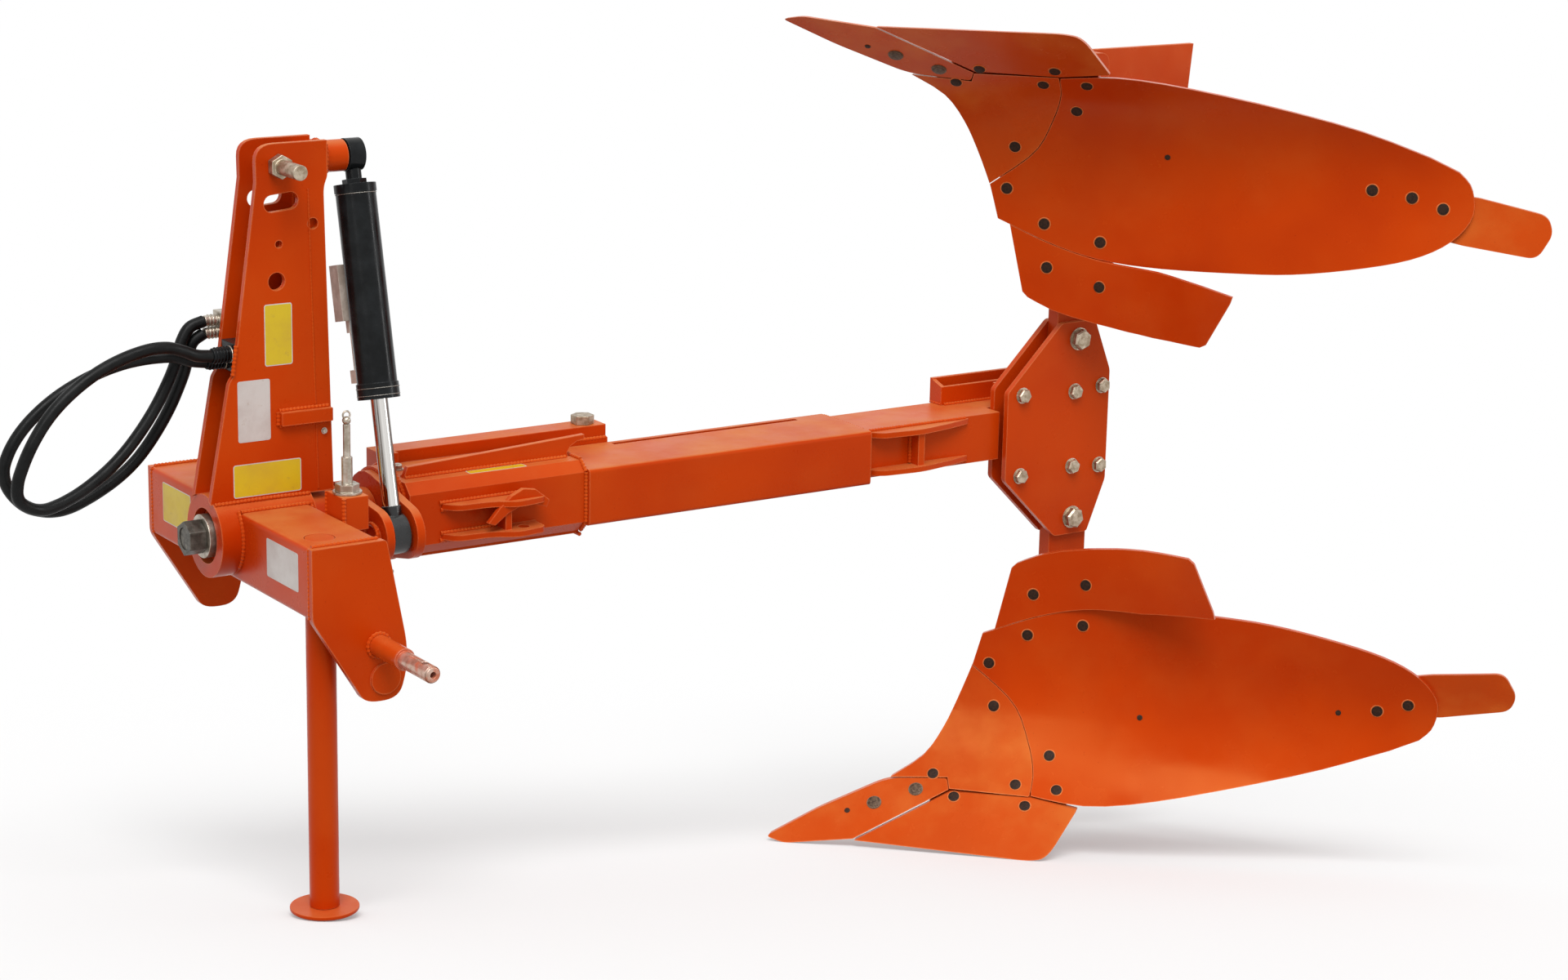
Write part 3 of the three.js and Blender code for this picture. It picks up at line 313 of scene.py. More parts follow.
def makeRodFinish():  # hard chrome above, with painted reflection streaks along it, black enamel on the eye and its stem
    finish, tree, surface = newFinish("chromeAndBlackRod")
    tone, place = blackGloss(tree)
    height = distanceAlong(tree, place, rodEyeCentre, rodSlide)
    bright = between(tree, height, chromeLook["blackUpTo"], chromeLook["brightFrom"])
    flat = put(tree, "ShaderNodeVectorMath", {0: tuple(rodSlide), "Scale": height}, operation="SCALE")
    across = put(tree, "ShaderNodeVectorMath", {0: place, 1: flat}, operation="SUBTRACT")
    # painted reflection: streaks that vary around the rod and stay the same along it
    streaks = between(tree, speckle(tree, across, chromeLook["streaks"], 2, 0.5), 0.40, 0.62)
    chromeWithPaintedStreaks = blendColour(tree, streaks, chromeLook["paintedDarkStreak"], chromeLook["bright"])
    tree.links.new(blendColour(tree, bright, tone, chromeWithPaintedStreaks), surface.inputs["Base Color"])
    tree.links.new(bright, surface.inputs["Metallic"])
    smudge = between(tree, speckle(tree, place, 34, 3, 0.6), 0.3, 0.7, 0.07, 0.16)
    enamelled = put(tree, "ShaderNodeMath", {0: 1.0, 1: bright}, operation="SUBTRACT")
    matt = times(tree, enamelled, chromeLook["enamelRough"])
    tree.links.new(plus(tree, smudge, matt), surface.inputs["Roughness"])
    raised(tree, surface, [(speckle(tree, place, 420, 2), 0.0003, 0.05)])
    finishes["chromeAndBlackRod"] = finish


# Painted pieces with some bare steel.
shaftLook = dict(bareFrom=-24, fade=0.002, dark=(0.05, 0.045, 0.036, 1), bright=(0.15, 0.135, 0.11, 1),
                 edge=(0.6, 0.57, 0.5, 1), metallic=0.7, gloss=0.08, tint=(1, 1, 1, 1))
hitchPinLook = dict(paintUpTo=0.398, rubbedFrom=0.412, dark=(0.42, 0.26, 0.19, 1),
                    bright=(0.62, 0.46, 0.38, 1), metallic=0.6, tint=(1, 0.9, 0.8, 1))


def makeShaftFinish():  # orange behind, bare dark steel at the threaded front end
    finish, tree, surface = newFinish("shaftFinish")
    tone = orangeEnamel(tree, surface, enamelLooks["frameEnamel"])
    place = pieceCoordinates(tree)
    ahead = distanceAlong(tree, place, at(shaftLook["bareFrom"], 0, 0), -rearward)
    steel = between(tree, ahead, 0, shaftLook["fade"])
    grit = between(tree, speckle(tree, place, 120, 4, 0.6), 0.35, 0.7)
    bare = blendColour(tree, grit, shaftLook["dark"], shaftLook["bright"])
    # lighter edges on the bare steel: edge wear and a painted highlight
    bare = blendColour(tree, times(tree, edgeShare(tree, 0.002), 0.7), bare, shaftLook["edge"])
    tree.links.new(blendColour(tree, steel, tone, bare), surface.inputs["Base Color"])
    tree.links.new(times(tree, steel, shaftLook["metallic"]), surface.inputs["Metallic"])
    surface.inputs["Specular Tint"].default_value = shaftLook["tint"]
    surface.inputs["Specular IOR Level"].default_value = shaftLook["gloss"]
    finishes["shaftFinish"] = finish


def makeHitchPinFinish():  # paint on the shoulders, rubbed through to steel on the pins
    finish, tree, surface = newFinish("hitchPinFinish")
    tone = orangeEnamel(tree, surface, enamelLooks["shareEnamel"])
    place = pieceCoordinates(tree)
    sideways = distanceAlong(tree, place, at(0, 0, 0), rightward)
    reach = put(tree, "ShaderNodeMath", {0: sideways}, operation="ABSOLUTE")
    outer = between(tree, reach, hitchPinLook["paintUpTo"], hitchPinLook["rubbedFrom"])
    rubbed = between(tree, speckle(tree, place, 38, 5, 0.65), 0.36, 0.60)
    steel = times(tree, outer, between(tree, rubbed, 0.0, 1.0, 0.35, 0.95))
    streaks = between(tree, speckle(tree, place, 80, 4), 0.3, 0.7)
    bare = blendColour(tree, streaks, hitchPinLook["dark"], hitchPinLook["bright"])
    tree.links.new(blendColour(tree, steel, tone, bare), surface.inputs["Base Color"])
    tree.links.new(times(tree, steel, hitchPinLook["metallic"]), surface.inputs["Metallic"])
    surface.inputs["Specular Tint"].default_value = hitchPinLook["tint"]
    finishes["hitchPinFinish"] = finish


# Hose rubber and vinyl.
rubberLook = dict(deep=(0.0040, 0.0042, 0.0042, 1), base=(0.0100, 0.0105, 0.0105, 1), gloss=0.13, wrap=900)
vinylLooks = {
    "yellowVinyl": dict(colour=(0.66, 0.47, 0.012, 1), faded=(0.60, 0.40, 0.02, 1)),
    "whiteVinyl": dict(colour=(0.62, 0.57, 0.54, 1), faded=(0.52, 0.45, 0.42, 1)),
}
vinylWear = dict(grime=(0.30, 0.16, 0.06, 1), grimeShare=0.35, gloss=0.35)


def makeHoseRubber():
    finish, tree, surface = newFinish("hoseRubber")
    place = pieceCoordinates(tree)
    cloud = between(tree, speckle(tree, place, 24, 4, 0.6), 0.35, 0.7)
    tone = blendColour(tree, cloud, rubberLook["deep"], rubberLook["base"])
    tree.links.new(tone, surface.inputs["Base Color"])
    smudge = between(tree, speckle(tree, place, 60, 3), 0.3, 0.7, 0.30, 0.46)
    tree.links.new(smudge, surface.inputs["Roughness"])
    surface.inputs["Specular IOR Level"].default_value = rubberLook["gloss"]
    wrap = speckle(tree, place, rubberLook["wrap"], 2, 0.7)
    raised(tree, surface, [(speckle(tree, place, 70, 3), 0.0012, 0.22), (wrap, 0.0003, 0.25)])
    finishes["hoseRubber"] = finish


def makeVinyl(name, look):
    finish, tree, surface = newFinish(name)
    place = pieceCoordinates(tree)
    fade = between(tree, speckle(tree, place, 16, 4, 0.6), 0.35, 0.70)
    tone = blendColour(tree, fade, look["colour"], look["faded"])
    grime = between(tree, speckle(tree, place, 70, 4, 0.65), 0.60, 0.74)
    tone = blendColour(tree, times(tree, grime, vinylWear["grimeShare"]), tone, vinylWear["grime"])
    tree.links.new(tone, surface.inputs["Base Color"])
    smudge = between(tree, speckle(tree, place, 40, 3), 0.3, 0.7, 0.30, 0.42)
    tree.links.new(smudge, surface.inputs["Roughness"])
    surface.inputs["Specular IOR Level"].default_value = vinylWear["gloss"]
    raised(tree, surface, [(speckle(tree, place, 45, 2), 0.0006, 0.14)])
    finishes[name] = finish


makeBlackEnamel()
makeRodFinish()
makeShaftFinish()
makeHitchPinFinish()
makeHoseRubber()
for name, look in vinylLooks.items():
    makeVinyl(name, look)
print("finishes made:", len(finishes))

# Finishes on the frame's nodes.
nodeFinish = {
    "cylinder_barrel": "blackEnamel", "hose_block": "blackEnamel", "cylinder_rod": "chromeAndBlackRod",
    "cylinder_valve": "paleCasting", "coupler_holder": "zincPlate", "stand_screw": "zincPlate",
    "top_link_pin": "boltZinc", "adjusting_bolt": "boltZinc", "stop_screw_left": "zincPlate",
    "stop_screw_right": "zincPlate", "shaft_nut": "darkNut", "shaft_washer": "zincPlate",
    "turnover_shaft": "shaftFinish", "lower_link_pin_left": "hitchPinFinish",
    "lower_link_pin_right": "hitchPinFinish", "stand_leg": "standEnamel", "stand_foot": "standEnamel",
    "hose_a": "hoseRubber", "hose_b": "hoseRubber",
}
plateFinish = {"share_point": "shareEnamel", "share": "shareEnamel", "shin": "shareEnamel",
               "mouldboard": "boardEnamel", "trashboard": "boardEnamel", "tailpiece": "shareEnamel"}
edges = dict(round=0.0011, segments=2, sharp=32, crease=25)


def softenTree():  # joins the loose triangles and keeps creases crisp, before the edges are rounded
    group = bpy.data.node_groups.new("joinAndSmooth", "GeometryNodeTree")
    group.interface.new_socket("Geometry", in_out="INPUT", socket_type="NodeSocketGeometry")
    crease = group.interface.new_socket("Crease Angle", in_out="INPUT", socket_type="NodeSocketFloat")
    crease.default_value = math.radians(edges["crease"])
    group.interface.new_socket("Geometry", in_out="OUTPUT", socket_type="NodeSocketGeometry")
    source = group.nodes.new("NodeGroupInput")
    bare = put(group, "GeometryNodeRemoveAttribute", {"Geometry": source.outputs[0], "Name": "custom_normal"})
    joined = put(group, "GeometryNodeMergeByDistance", {"Geometry": bare, "Distance": 0.00002})
    smooth = put(group, "GeometryNodeSetShadeSmooth", {"Geometry": joined}, domain="FACE")
    angle = put(group, "GeometryNodeInputMeshEdgeAngle", out="Unsigned Angle")
    sharp = put(group, "FunctionNodeCompare", {0: angle, 1: source.outputs["Crease Angle"]},
                data_type="FLOAT", operation="GREATER_THAN")
    crisp = put(group, "GeometryNodeSetShadeSmooth",
                {"Geometry": smooth, "Selection": sharp, "Shade Smooth": False}, domain="EDGE")
    group.links.new(crisp, group.nodes.new("NodeGroupOutput").inputs[0])
    return group


joinAndSmooth = softenTree()


def finishNode(name, node):
    kind = name.rsplit("_", 1)[0]
    finish = finishes[nodeFinish.get(name) or plateFinish.get(kind) or "frameEnamel"]
    for slot in node.material_slots:
        slot.material = finish
    node.modifiers.new("joinAndSmooth", "NODES").node_group = joinAndSmooth
    rounding = node.modifiers.new("roundEdges", "BEVEL")
    rounding.width = edges["round"]
    rounding.segments = edges["segments"]
    rounding.limit_method = "ANGLE"
    rounding.angle_limit = math.radians(edges["sharp"])
    rounding.harden_normals = True


for name, node in nodes.items():
    finishNode(name, node)
print("frame nodes finished")


# Hoses.
hose = dict(radius=10, ferruleLength=34, couplerLength=24, gap=0.3, leadOut=14, leadIn=10, points=36, fine=24)
hoseEnds = {
    "hose_a": dict(start=(10, -11, 298), end=(16, 53, 342), route=[
        (-113, -20, 322), (-212, -26, 300), (-301, -28, 238), (-350, -22, 156), (-356, -14, 106),
        (-320, -4, 80), (-262, 8, 88), (-179, 24, 132), (-111, 38, 198), (-64, 48, 270), (-40, 53, 326)]),
    "hose_b": dict(start=(10, 12, 284), end=(16, 53, 322), route=[
        (-72, 18, 296), (-164, 30, 290), (-269, 38, 246), (-335, 44, 184), (-354, 50, 126),
        (-320, 56, 74), (-262, 62, 56), (-196, 68, 74), (-126, 74, 116), (-70, 74, 186), (-40, 66, 254),
        (-28, 56, 306)]),
}


def smoothThrough(points, count):  # centripetal curve through the points, evenly spaced
    padded = [2 * points[0] - points[1], *points, 2 * points[-1] - points[-2]]
    fine = []
    for p0, p1, p2, p3 in zip(padded, padded[1:], padded[2:], padded[3:]):
        t1 = (p1 - p0).length ** 0.5
        t2 = t1 + (p2 - p1).length ** 0.5
        t3 = t2 + (p3 - p2).length ** 0.5
        for part in range(hose["fine"]):
            t = t1 + (t2 - t1) * part / hose["fine"]
            a1 = p0 * ((t1 - t) / t1) + p1 * (t / t1)
            a2 = p1 * ((t2 - t) / (t2 - t1)) + p2 * ((t - t1) / (t2 - t1))
            a3 = p2 * ((t3 - t) / (t3 - t2)) + p3 * ((t - t2) / (t3 - t2))
            b1 = a1 * ((t2 - t) / t2) + a2 * (t / t2)
            b2 = a2 * ((t3 - t) / (t3 - t1)) + a3 * ((t - t1) / (t3 - t1))
            fine.append(b1 * ((t2 - t) / (t2 - t1)) + b2 * ((t - t1) / (t2 - t1)))
    fine.append(points[-1])
    runs = [0]
    for before, after in zip(fine, fine[1:]):
        runs.append(runs[-1] + (after - before).length)
    even = []
    for index in range(count):
        want = runs[-1] * index / (count - 1)
        reached = next((i for i, run in enumerate(runs) if run >= want), len(fine) - 1)
        place = max(1, reached)
        share = (want - runs[place - 1]) / max(1e-9, runs[place] - runs[place - 1])
        even.append(fine[place - 1].lerp(fine[place], share))
    return even, runs[-1]


def makeHose(name, facts):
    sx, sy, sz = facts["start"]
    ex, ey, ez = facts["end"]
    startX = sx - hose["ferruleLength"] - hose["gap"]
    endX = ex - hose["couplerLength"] - hose["gap"]
    places = [(startX, sy, sz), (startX - hose["leadOut"], sy, sz), *facts["route"],
              (endX - hose["leadIn"], ey, ez), (endX, ey, ez)]
    line, length = smoothThrough([at(*place) for place in places], hose["points"])
    curve = bpy.data.curves.new(name + "Rubber", "CURVE")
    curve.dimensions = "3D"
    curve.bevel_depth = hose["radius"] / 1000
    curve.bevel_resolution = 6
    curve.resolution_u = 6
    curve.use_fill_caps = True
    spline = curve.splines.new("BEZIER")
    spline.bezier_points.add(len(line) - 1)
    for index, (knot, place) in enumerate(zip(spline.bezier_points, line)):
        before = line[max(0, index - 1)]
        after = line[min(len(line) - 1, index + 1)]
        lean = (after - before).normalized() * (length / (hose["points"] - 1) / 3)
        knot.handle_left_type = knot.handle_right_type = "FREE"
        knot.co = place
        knot.handle_left = place - lean
        knot.handle_right = place + lean
    curve.materials.append(finishes["hoseRubber"])
    piece = bpy.data.objects.new(name + "Rubber", curve)
    scene.collection.objects.link(piece)
    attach(piece, "headstock")
    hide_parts(name)
    print(name, "length", round(length, 3))


for name, facts in hoseEnds.items():
    makeHose(name, facts)
print("hoses laid")


# Plain pieces from mesh code.
def linkPiece(name, mesh, finish, body):
    mesh.materials.clear()
    mesh.materials.append(finishes[finish])
    piece = bpy.data.objects.new(name, mesh)
    scene.collection.objects.link(piece)
    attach(piece, body)


def settleTree(piece, finish, body):  # the tree's result becomes one plain mesh, and the modifier goes
    bpy.context.view_layer.update()
    result = bpy.data.meshes.new_from_object(piece.evaluated_get(bpy.context.evaluated_depsgraph_get()))
    piece.modifiers.clear()
    source = piece.data
    piece.data = result
    bpy.data.meshes.remove(source)
    if not result.materials:
        result.materials.append(finishes[finish])
    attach(piece, body)


def addInputs(group, inputs):  # named sizes of a tree, and the node that gives them
    group.interface.new_socket("Geometry", in_out="INPUT", socket_type="NodeSocketGeometry")
    for name, (kind, value) in inputs.items():
        socket = group.interface.new_socket(name, in_out="INPUT", socket_type=kind)
        if value is not None:
            socket.default_value = value
    group.interface.new_socket("Geometry", in_out="OUTPUT", socket_type="NodeSocketGeometry")
    return group.nodes.new("NodeGroupInput")


def applyTree(piece, group, values):
    modifier = piece.modifiers.new(group.name, "NODES")
    modifier.node_group = group
    for socket in group.interface.items_tree:
        if socket.item_type == "SOCKET" and socket.in_out == "INPUT" and socket.name in values:
            modifier[socket.identifier] = values[socket.name]


def closeTree(group, source, shape):
    whole = put(group, "GeometryNodeRealizeInstances", {"Geometry": shape})
    smooth = put(group, "GeometryNodeSetShadeSmooth", {"Geometry": whole}, domain="FACE")
    angle = put(group, "GeometryNodeInputMeshEdgeAngle", out="Unsigned Angle")
    sharp = put(group, "FunctionNodeCompare", {0: angle, 1: math.radians(edges["sharp"])},
                data_type="FLOAT", operation="GREATER_THAN")
    crisp = put(group, "GeometryNodeSetShadeSmooth",
                {"Geometry": smooth, "Selection": sharp, "Shade Smooth": False}, domain="EDGE")
    done = put(group, "GeometryNodeSetMaterial", {"Geometry": crisp, "Material": source.outputs["Material"]})
    group.links.new(done, group.nodes.new("NodeGroupOutput").inputs[0])


# Bolts and nuts.
crownShape = dict(share=0.20, narrow=0.86)  # the chamfered top of a head


def fastenerTree():  # a washer, a head with a chamfer and a stud, on every point
    group = bpy.data.node_groups.new("fastenersOnPoints", "GeometryNodeTree")
    source = addInputs(group, {
        "Head Sides": ("NodeSocketInt", 6), "Head Radius": ("NodeSocketFloat", 0.0135),
        "Head Height": ("NodeSocketFloat", 0.010), "Washer Radius": ("NodeSocketFloat", 0.015),
        "Washer Height": ("NodeSocketFloat", 0.003), "Stud Radius": ("NodeSocketFloat", 0.008),
        "Stud Height": ("NodeSocketFloat", 0.0005), "Material": ("NodeSocketMaterial", None)})
    take = source.outputs

    def lifted(shape, base, height):
        half = put(group, "ShaderNodeMath", {0: height, 1: 0.5}, operation="MULTIPLY")
        lift = put(group, "ShaderNodeMath", {0: base, 1: half}, operation="ADD")
        offset = put(group, "ShaderNodeCombineXYZ", {"Z": lift})
        return put(group, "GeometryNodeTransform", {"Geometry": shape, "Translation": offset})

    def scaledValue(value, factor):
        return put(group, "ShaderNodeMath", {0: value, 1: factor}, operation="MULTIPLY")

    washer = put(group, "GeometryNodeMeshCylinder", {"Vertices": 24, "Radius": take["Washer Radius"],
                                                     "Depth": take["Washer Height"]}, "Mesh")
    washer = lifted(washer, 0.0, take["Washer Height"])
    shankHeight = scaledValue(take["Head Height"], 1 - crownShape["share"])
    head = put(group, "GeometryNodeMeshCylinder", {
        "Vertices": take["Head Sides"], "Radius": take["Head Radius"], "Depth": shankHeight}, "Mesh")
    head = lifted(head, take["Washer Height"], shankHeight)
    crownHeight = scaledValue(take["Head Height"], crownShape["share"])
    crown = put(group, "GeometryNodeMeshCone", {
        "Vertices": take["Head Sides"], "Radius Bottom": take["Head Radius"],
        "Radius Top": scaledValue(take["Head Radius"], crownShape["narrow"]), "Depth": crownHeight}, "Mesh")
    crownBase = put(group, "ShaderNodeMath", {0: take["Washer Height"], 1: shankHeight}, operation="ADD")
    offset = put(group, "ShaderNodeCombineXYZ", {"Z": crownBase})
    crown = put(group, "GeometryNodeTransform", {"Geometry": crown, "Translation": offset})
    stud = put(group, "GeometryNodeMeshCylinder", {"Vertices": 20, "Radius": take["Stud Radius"],
                                                   "Depth": take["Stud Height"]}, "Mesh")
    crownTop = put(group, "ShaderNodeMath", {0: take["Washer Height"], 1: take["Head Height"]},
                   operation="ADD")
    stud = lifted(stud, crownTop, take["Stud Height"])
    join = group.nodes.new("GeometryNodeJoinGeometry")
    for part in (washer, head, crown, stud):
        group.links.new(part, join.inputs[0])
    facing = put(group, "GeometryNodeInputNamedAttribute", {"Name": "facing"}, data_type="FLOAT_VECTOR")
    size = put(group, "GeometryNodeInputNamedAttribute", {"Name": "size"}, data_type="FLOAT")
    spin = put(group, "GeometryNodeInputNamedAttribute", {"Name": "spin"}, data_type="FLOAT")
    turn = put(group, "FunctionNodeAlignRotationToVector", {"Vector": facing}, axis="Z")
    roll = put(group, "FunctionNodeAxisAngleToRotation", {"Axis": (0, 0, 1), "Angle": spin})
    turn = put(group, "FunctionNodeRotateRotation", {"Rotation": turn, "Rotate By": roll},
               rotation_space="LOCAL")
    placed = put(group, "GeometryNodeInstanceOnPoints", {
        "Points": take["Geometry"], "Instance": join.outputs[0], "Rotation": turn, "Scale": size})
    closeTree(group, source, placed)
    return group


fasteners = fastenerTree()
boltKinds = {  # millimetres
    "hexBolts": dict(sides=6, head=13.8, height=10, washer=15, washerHeight=1.2, stud=6, studHeight=0.2,
                     finish="boltZinc", slot="plated_steel"),
    "hexNuts": dict(sides=6, head=11, height=10, washer=12.5, washerHeight=2, stud=6, studHeight=4,
                    finish="boltZinc", slot="plated_steel"),
    # a pale ring round each dark bolt head, coloured as a painted highlight
    "ploughBoltRims": dict(sides=24, head=12.0, height=0.5, washer=12.4, washerHeight=0.3, stud=4,
                           studHeight=0.02, finish="boltRimHighlight", slot="orange_paint"),
    "ploughBolts": dict(sides=20, head=10.4, height=1.2, washer=10.8, washerHeight=0.7, stud=5.2,
                        studHeight=0.35, finish="boltDark", slot="plated_steel"),
    "shareBolts": dict(sides=20, head=11.2, height=1.7, washer=12.2, washerHeight=0.7, stud=6.0,
                       studHeight=0.3, finish="boltGrey", slot="plated_steel"),
    "plugs": dict(sides=6, head=8, height=7, washer=9.5, washerHeight=2, stud=4, studHeight=1,
                  finish="zincPlate", slot="plated_steel"),
}


def placeFasteners(name, kind, body, spots):  # spots: (place in the row frame, facing, size, spin)
    facts = boltKinds[kind]
    mesh = bpy.data.meshes.new(name)
    mesh.from_pydata([tuple(spot[0]) for spot in spots], [], [])
    facing = [number for spot in spots for number in spot[1]]
    mesh.attributes.new("facing", "FLOAT_VECTOR", "POINT").data.foreach_set("vector", facing)
    mesh.attributes.new("size", "FLOAT", "POINT").data.foreach_set("value", [spot[2] for spot in spots])
    mesh.attributes.new("spin", "FLOAT", "POINT").data.foreach_set("value", [spot[3] for spot in spots])
    piece = bpy.data.objects.new(name, mesh)
    scene.collection.objects.link(piece)
    applyTree(piece, fasteners, {
        "Head Sides": facts["sides"], "Head Radius": facts["head"] / 1000,
        "Head Height": facts["height"] / 1000,
        "Washer Radius": facts["washer"] / 1000, "Washer Height": facts["washerHeight"] / 1000,
        "Stud Radius": facts["stud"] / 1000, "Stud Height": facts["studHeight"] / 1000,
        "Material": finishes[facts["finish"]]})
    settleTree(piece, facts["finish"], body)


# The working face of a body, as in the frame: s along its level lines, z up, both in millimetres
bodyFace = dict(angle=48, edgeZ=-768, edgeD=-923, shareHeight=91, shareAngle=49, curve=320, twistFrom=1300,
                twistTo=2000, twist=0.25, twistZ=-440, curlFrom=1150, curlTo=1470, curl=85)


def facePoint(s, z, curled=False):
    face = bodyFace
    slope = math.radians(face["shareAngle"])
    height = max(z - face["edgeZ"], -40)
    drop = face["curve"] * math.sin(slope)
    above = min(max(height - face["shareHeight"], 0), drop)
    rise = math.sqrt(face["curve"] ** 2 - (drop - above) ** 2) - face["curve"] * math.cos(slope)
    share = min(max((s - face["twistFrom"]) / (face["twistTo"] - face["twistFrom"]), 0), 1)
    turn = share * share * (3 - 2 * share)
    d = face["edgeD"] - math.tan(slope) * min(height, face["shareHeight"]) - rise
    d += face["twist"] * turn * (z - face["twistZ"])
    if curled:
        d += face["curl"] * max(0, (s - face["curlFrom"]) / (face["curlTo"] - face["curlFrom"])) ** 2
    angle = math.radians(face["angle"])
    return Vector((s * math.cos(angle) - d * math.sin(angle), -s * math.sin(angle) - d * math.cos(angle), z))


def faceSpot(s, z, up, proud=0.0, curled=False):  # place and outward direction on the lower or upper body
    place = facePoint(s, z, curled)
    lengthways = facePoint(s + 3, z, curled) - place
    upwards = facePoint(s, z + 3, curled) - place
    out = upwards.cross(lengthways).normalized()
    angle = math.radians(bodyFace["angle"])
    if out.dot(Vector((-math.sin(angle), -math.cos(angle), 0))) < 0:
        out = -out
    place = place + out * proud
    if up > 0:
        place.z, out.z = -place.z, -out.z
    return at(*place), along(*out)


bodyBolts = [(978, -659), (1026, -689), (1163, -692), (1138, -663), (1217, -665), (1194, -613), (1077, -537),
             (1062, -457), (1134, -395), (1239, -367), (1796, -482), (1852, -465)]
trashBolts = [(1142, -314), (1242, -285)]
shareBolts = [(877, -709), (951, -684)]
tailBolt = (1725, -492)
bareHoles = ((829, -724), (1357, -533))
frogBolts = bodyBolts[:10]
clampBolts = [(1564, 77), (1687, 72), (1752, 77), (1564, -77), (1687, -72), (1752, -77)]
clampPivots = [(1692, 172), (1692, -172)]
clamp = dict(face=-89.0, pivotBack=-35.4, boltBack=-25.1, frogBack=25.2)


def placeClampFasteners():
    towards = along(0, -1, 0)
    heads = [(at(x, clamp["face"], z), towards, 1.0, 0.35 * index) for index, (x, z) in enumerate(clampBolts)]
    heads += [(at(x, clamp["face"], z), towards, 1.42, 0.5 + 0.4 * index)
              for index, (x, z) in enumerate(clampPivots)]
    placeFasteners("clampBoltHeads", "hexBolts", "turning_frame", heads)
    away = along(0, 1, 0)
    nuts = [(at(x, clamp["pivotBack"], z), away, 1.75, 0.2) for x, z in clampPivots]
    nuts += [(at(x, clamp["boltBack"], z), away, 1.15, 0.3) for x, z in clampBolts if z < 0]
    placeFasteners("clampNuts", "hexNuts", "turning_frame", nuts)
    return len(heads) + len(nuts)


def placeBodyFasteners():
    rims, dark, grey, holeShadeDiscs, backs = [], [], [], [], []
    for up in (-1, 1):
        plain = bodyBolts + ([tailBolt] if up > 0 else [])
        for index, (s, z) in enumerate(plain):
            place, out = faceSpot(s, z, up)
            rims.append((place, out, 1.0, 0.0))
            dark.append((place, out, 1.0, 0.7 * index))
        for s, z in trashBolts:
            place, out = faceSpot(s, z, up, curled=True)
            rims.append((place, out, 1.0, 0.0))
            dark.append((place, out, 1.0, 1.1))
        for s, z in shareBolts:
            place, out = faceSpot(s, z, up)
            grey.append((place, out, 1.15, 0.4))
        # near-black discs where the bolt holes are empty: painted shade inside the holes
        for s, z in bareHoles + (() if up > 0 else (tailBolt,)):
            place, out = faceSpot(s, z, up)
            holeShadeDiscs.append((place, out, 0.50, 0.0))
        for s, z in frogBolts:
            inward, out = faceSpot(s, z, up, -clamp["frogBack"])
            backs.append((inward, -out, 1.0, 0.5))
    placeFasteners("ploughBoltRims", "ploughBoltRims", "turning_frame", rims)
    placeFasteners("ploughBoltHeads", "ploughBolts", "turning_frame", dark + holeShadeDiscs)
    placeFasteners("shareBoltHeads", "shareBolts", "turning_frame", grey)
    placeFasteners("frogNuts", "hexNuts", "turning_frame", backs)
    return len(dark) + len(grey) + len(backs)


print("fasteners placed:", placeClampFasteners() + placeBodyFasteners())

# Weld beads, laid along paths in the plough's axes.
weld = dict(radius=3.4, seamRadius=1.5, step=1.5, ripple=6.5, rippleDepth=0.16, lump=0.9, lumpSize=55.0,
            sides=8)


def weldTree():
    group = bpy.data.node_groups.new("weldBeads", "GeometryNodeTree")
    source = addInputs(group, {
        "Radius": ("NodeSocketFloat", 0.003), "Step": ("NodeSocketFloat", 0.0015),
        "Ripple Length": ("NodeSocketFloat", 0.0065), "Ripple Depth": ("NodeSocketFloat", 0.16),
        "Lump": ("NodeSocketFloat", 0.0009), "Lump Scale": ("NodeSocketFloat", 55.0),
        "Sides": ("NodeSocketInt", 8), "Material": ("NodeSocketMaterial", None)})
    take = source.outputs
    run = put(group, "GeometryNodeMeshToCurve", {"Mesh": take["Geometry"]})
    run = put(group, "GeometryNodeResampleCurve", {"Curve": run, "Length": take["Step"]}, mode="LENGTH")
    spot = put(group, "GeometryNodeInputPosition")
    noise = put(group, "ShaderNodeTexNoise",
                {"Vector": spot, "Scale": take["Lump Scale"], "Detail": 2.0}, "Color")
    centred = put(group, "ShaderNodeVectorMath", {0: noise, 1: (0.5, 0.5, 0.5)}, operation="SUBTRACT")
    shift = put(group, "ShaderNodeVectorMath", {0: centred, "Scale": take["Lump"]}, operation="SCALE")
    run = put(group, "GeometryNodeSetPosition", {"Geometry": run, "Offset": shift})
    travelled = put(group, "GeometryNodeSplineParameter", out="Length")
    turns = put(group, "ShaderNodeMath", {0: travelled, 1: take["Ripple Length"]}, operation="DIVIDE")
    turns = put(group, "ShaderNodeMath", {0: turns, 1: math.tau}, operation="MULTIPLY")
    wave = put(group, "ShaderNodeMath", {0: turns}, operation="SINE")
    swell = put(group, "ShaderNodeMath", {0: wave, 1: take["Ripple Depth"]}, operation="MULTIPLY")
    swell = put(group, "ShaderNodeMath", {0: swell, 1: 1.0}, operation="ADD")
    section = put(group, "GeometryNodeCurvePrimitiveCircle",
                  {"Resolution": take["Sides"], "Radius": take["Radius"]})
    bead = put(group, "GeometryNodeCurveToMesh", {
        "Curve": run, "Profile Curve": section, "Scale": swell, "Fill Caps": True})
    closeTree(group, source, bead)
    return group


weldBeads = weldTree()


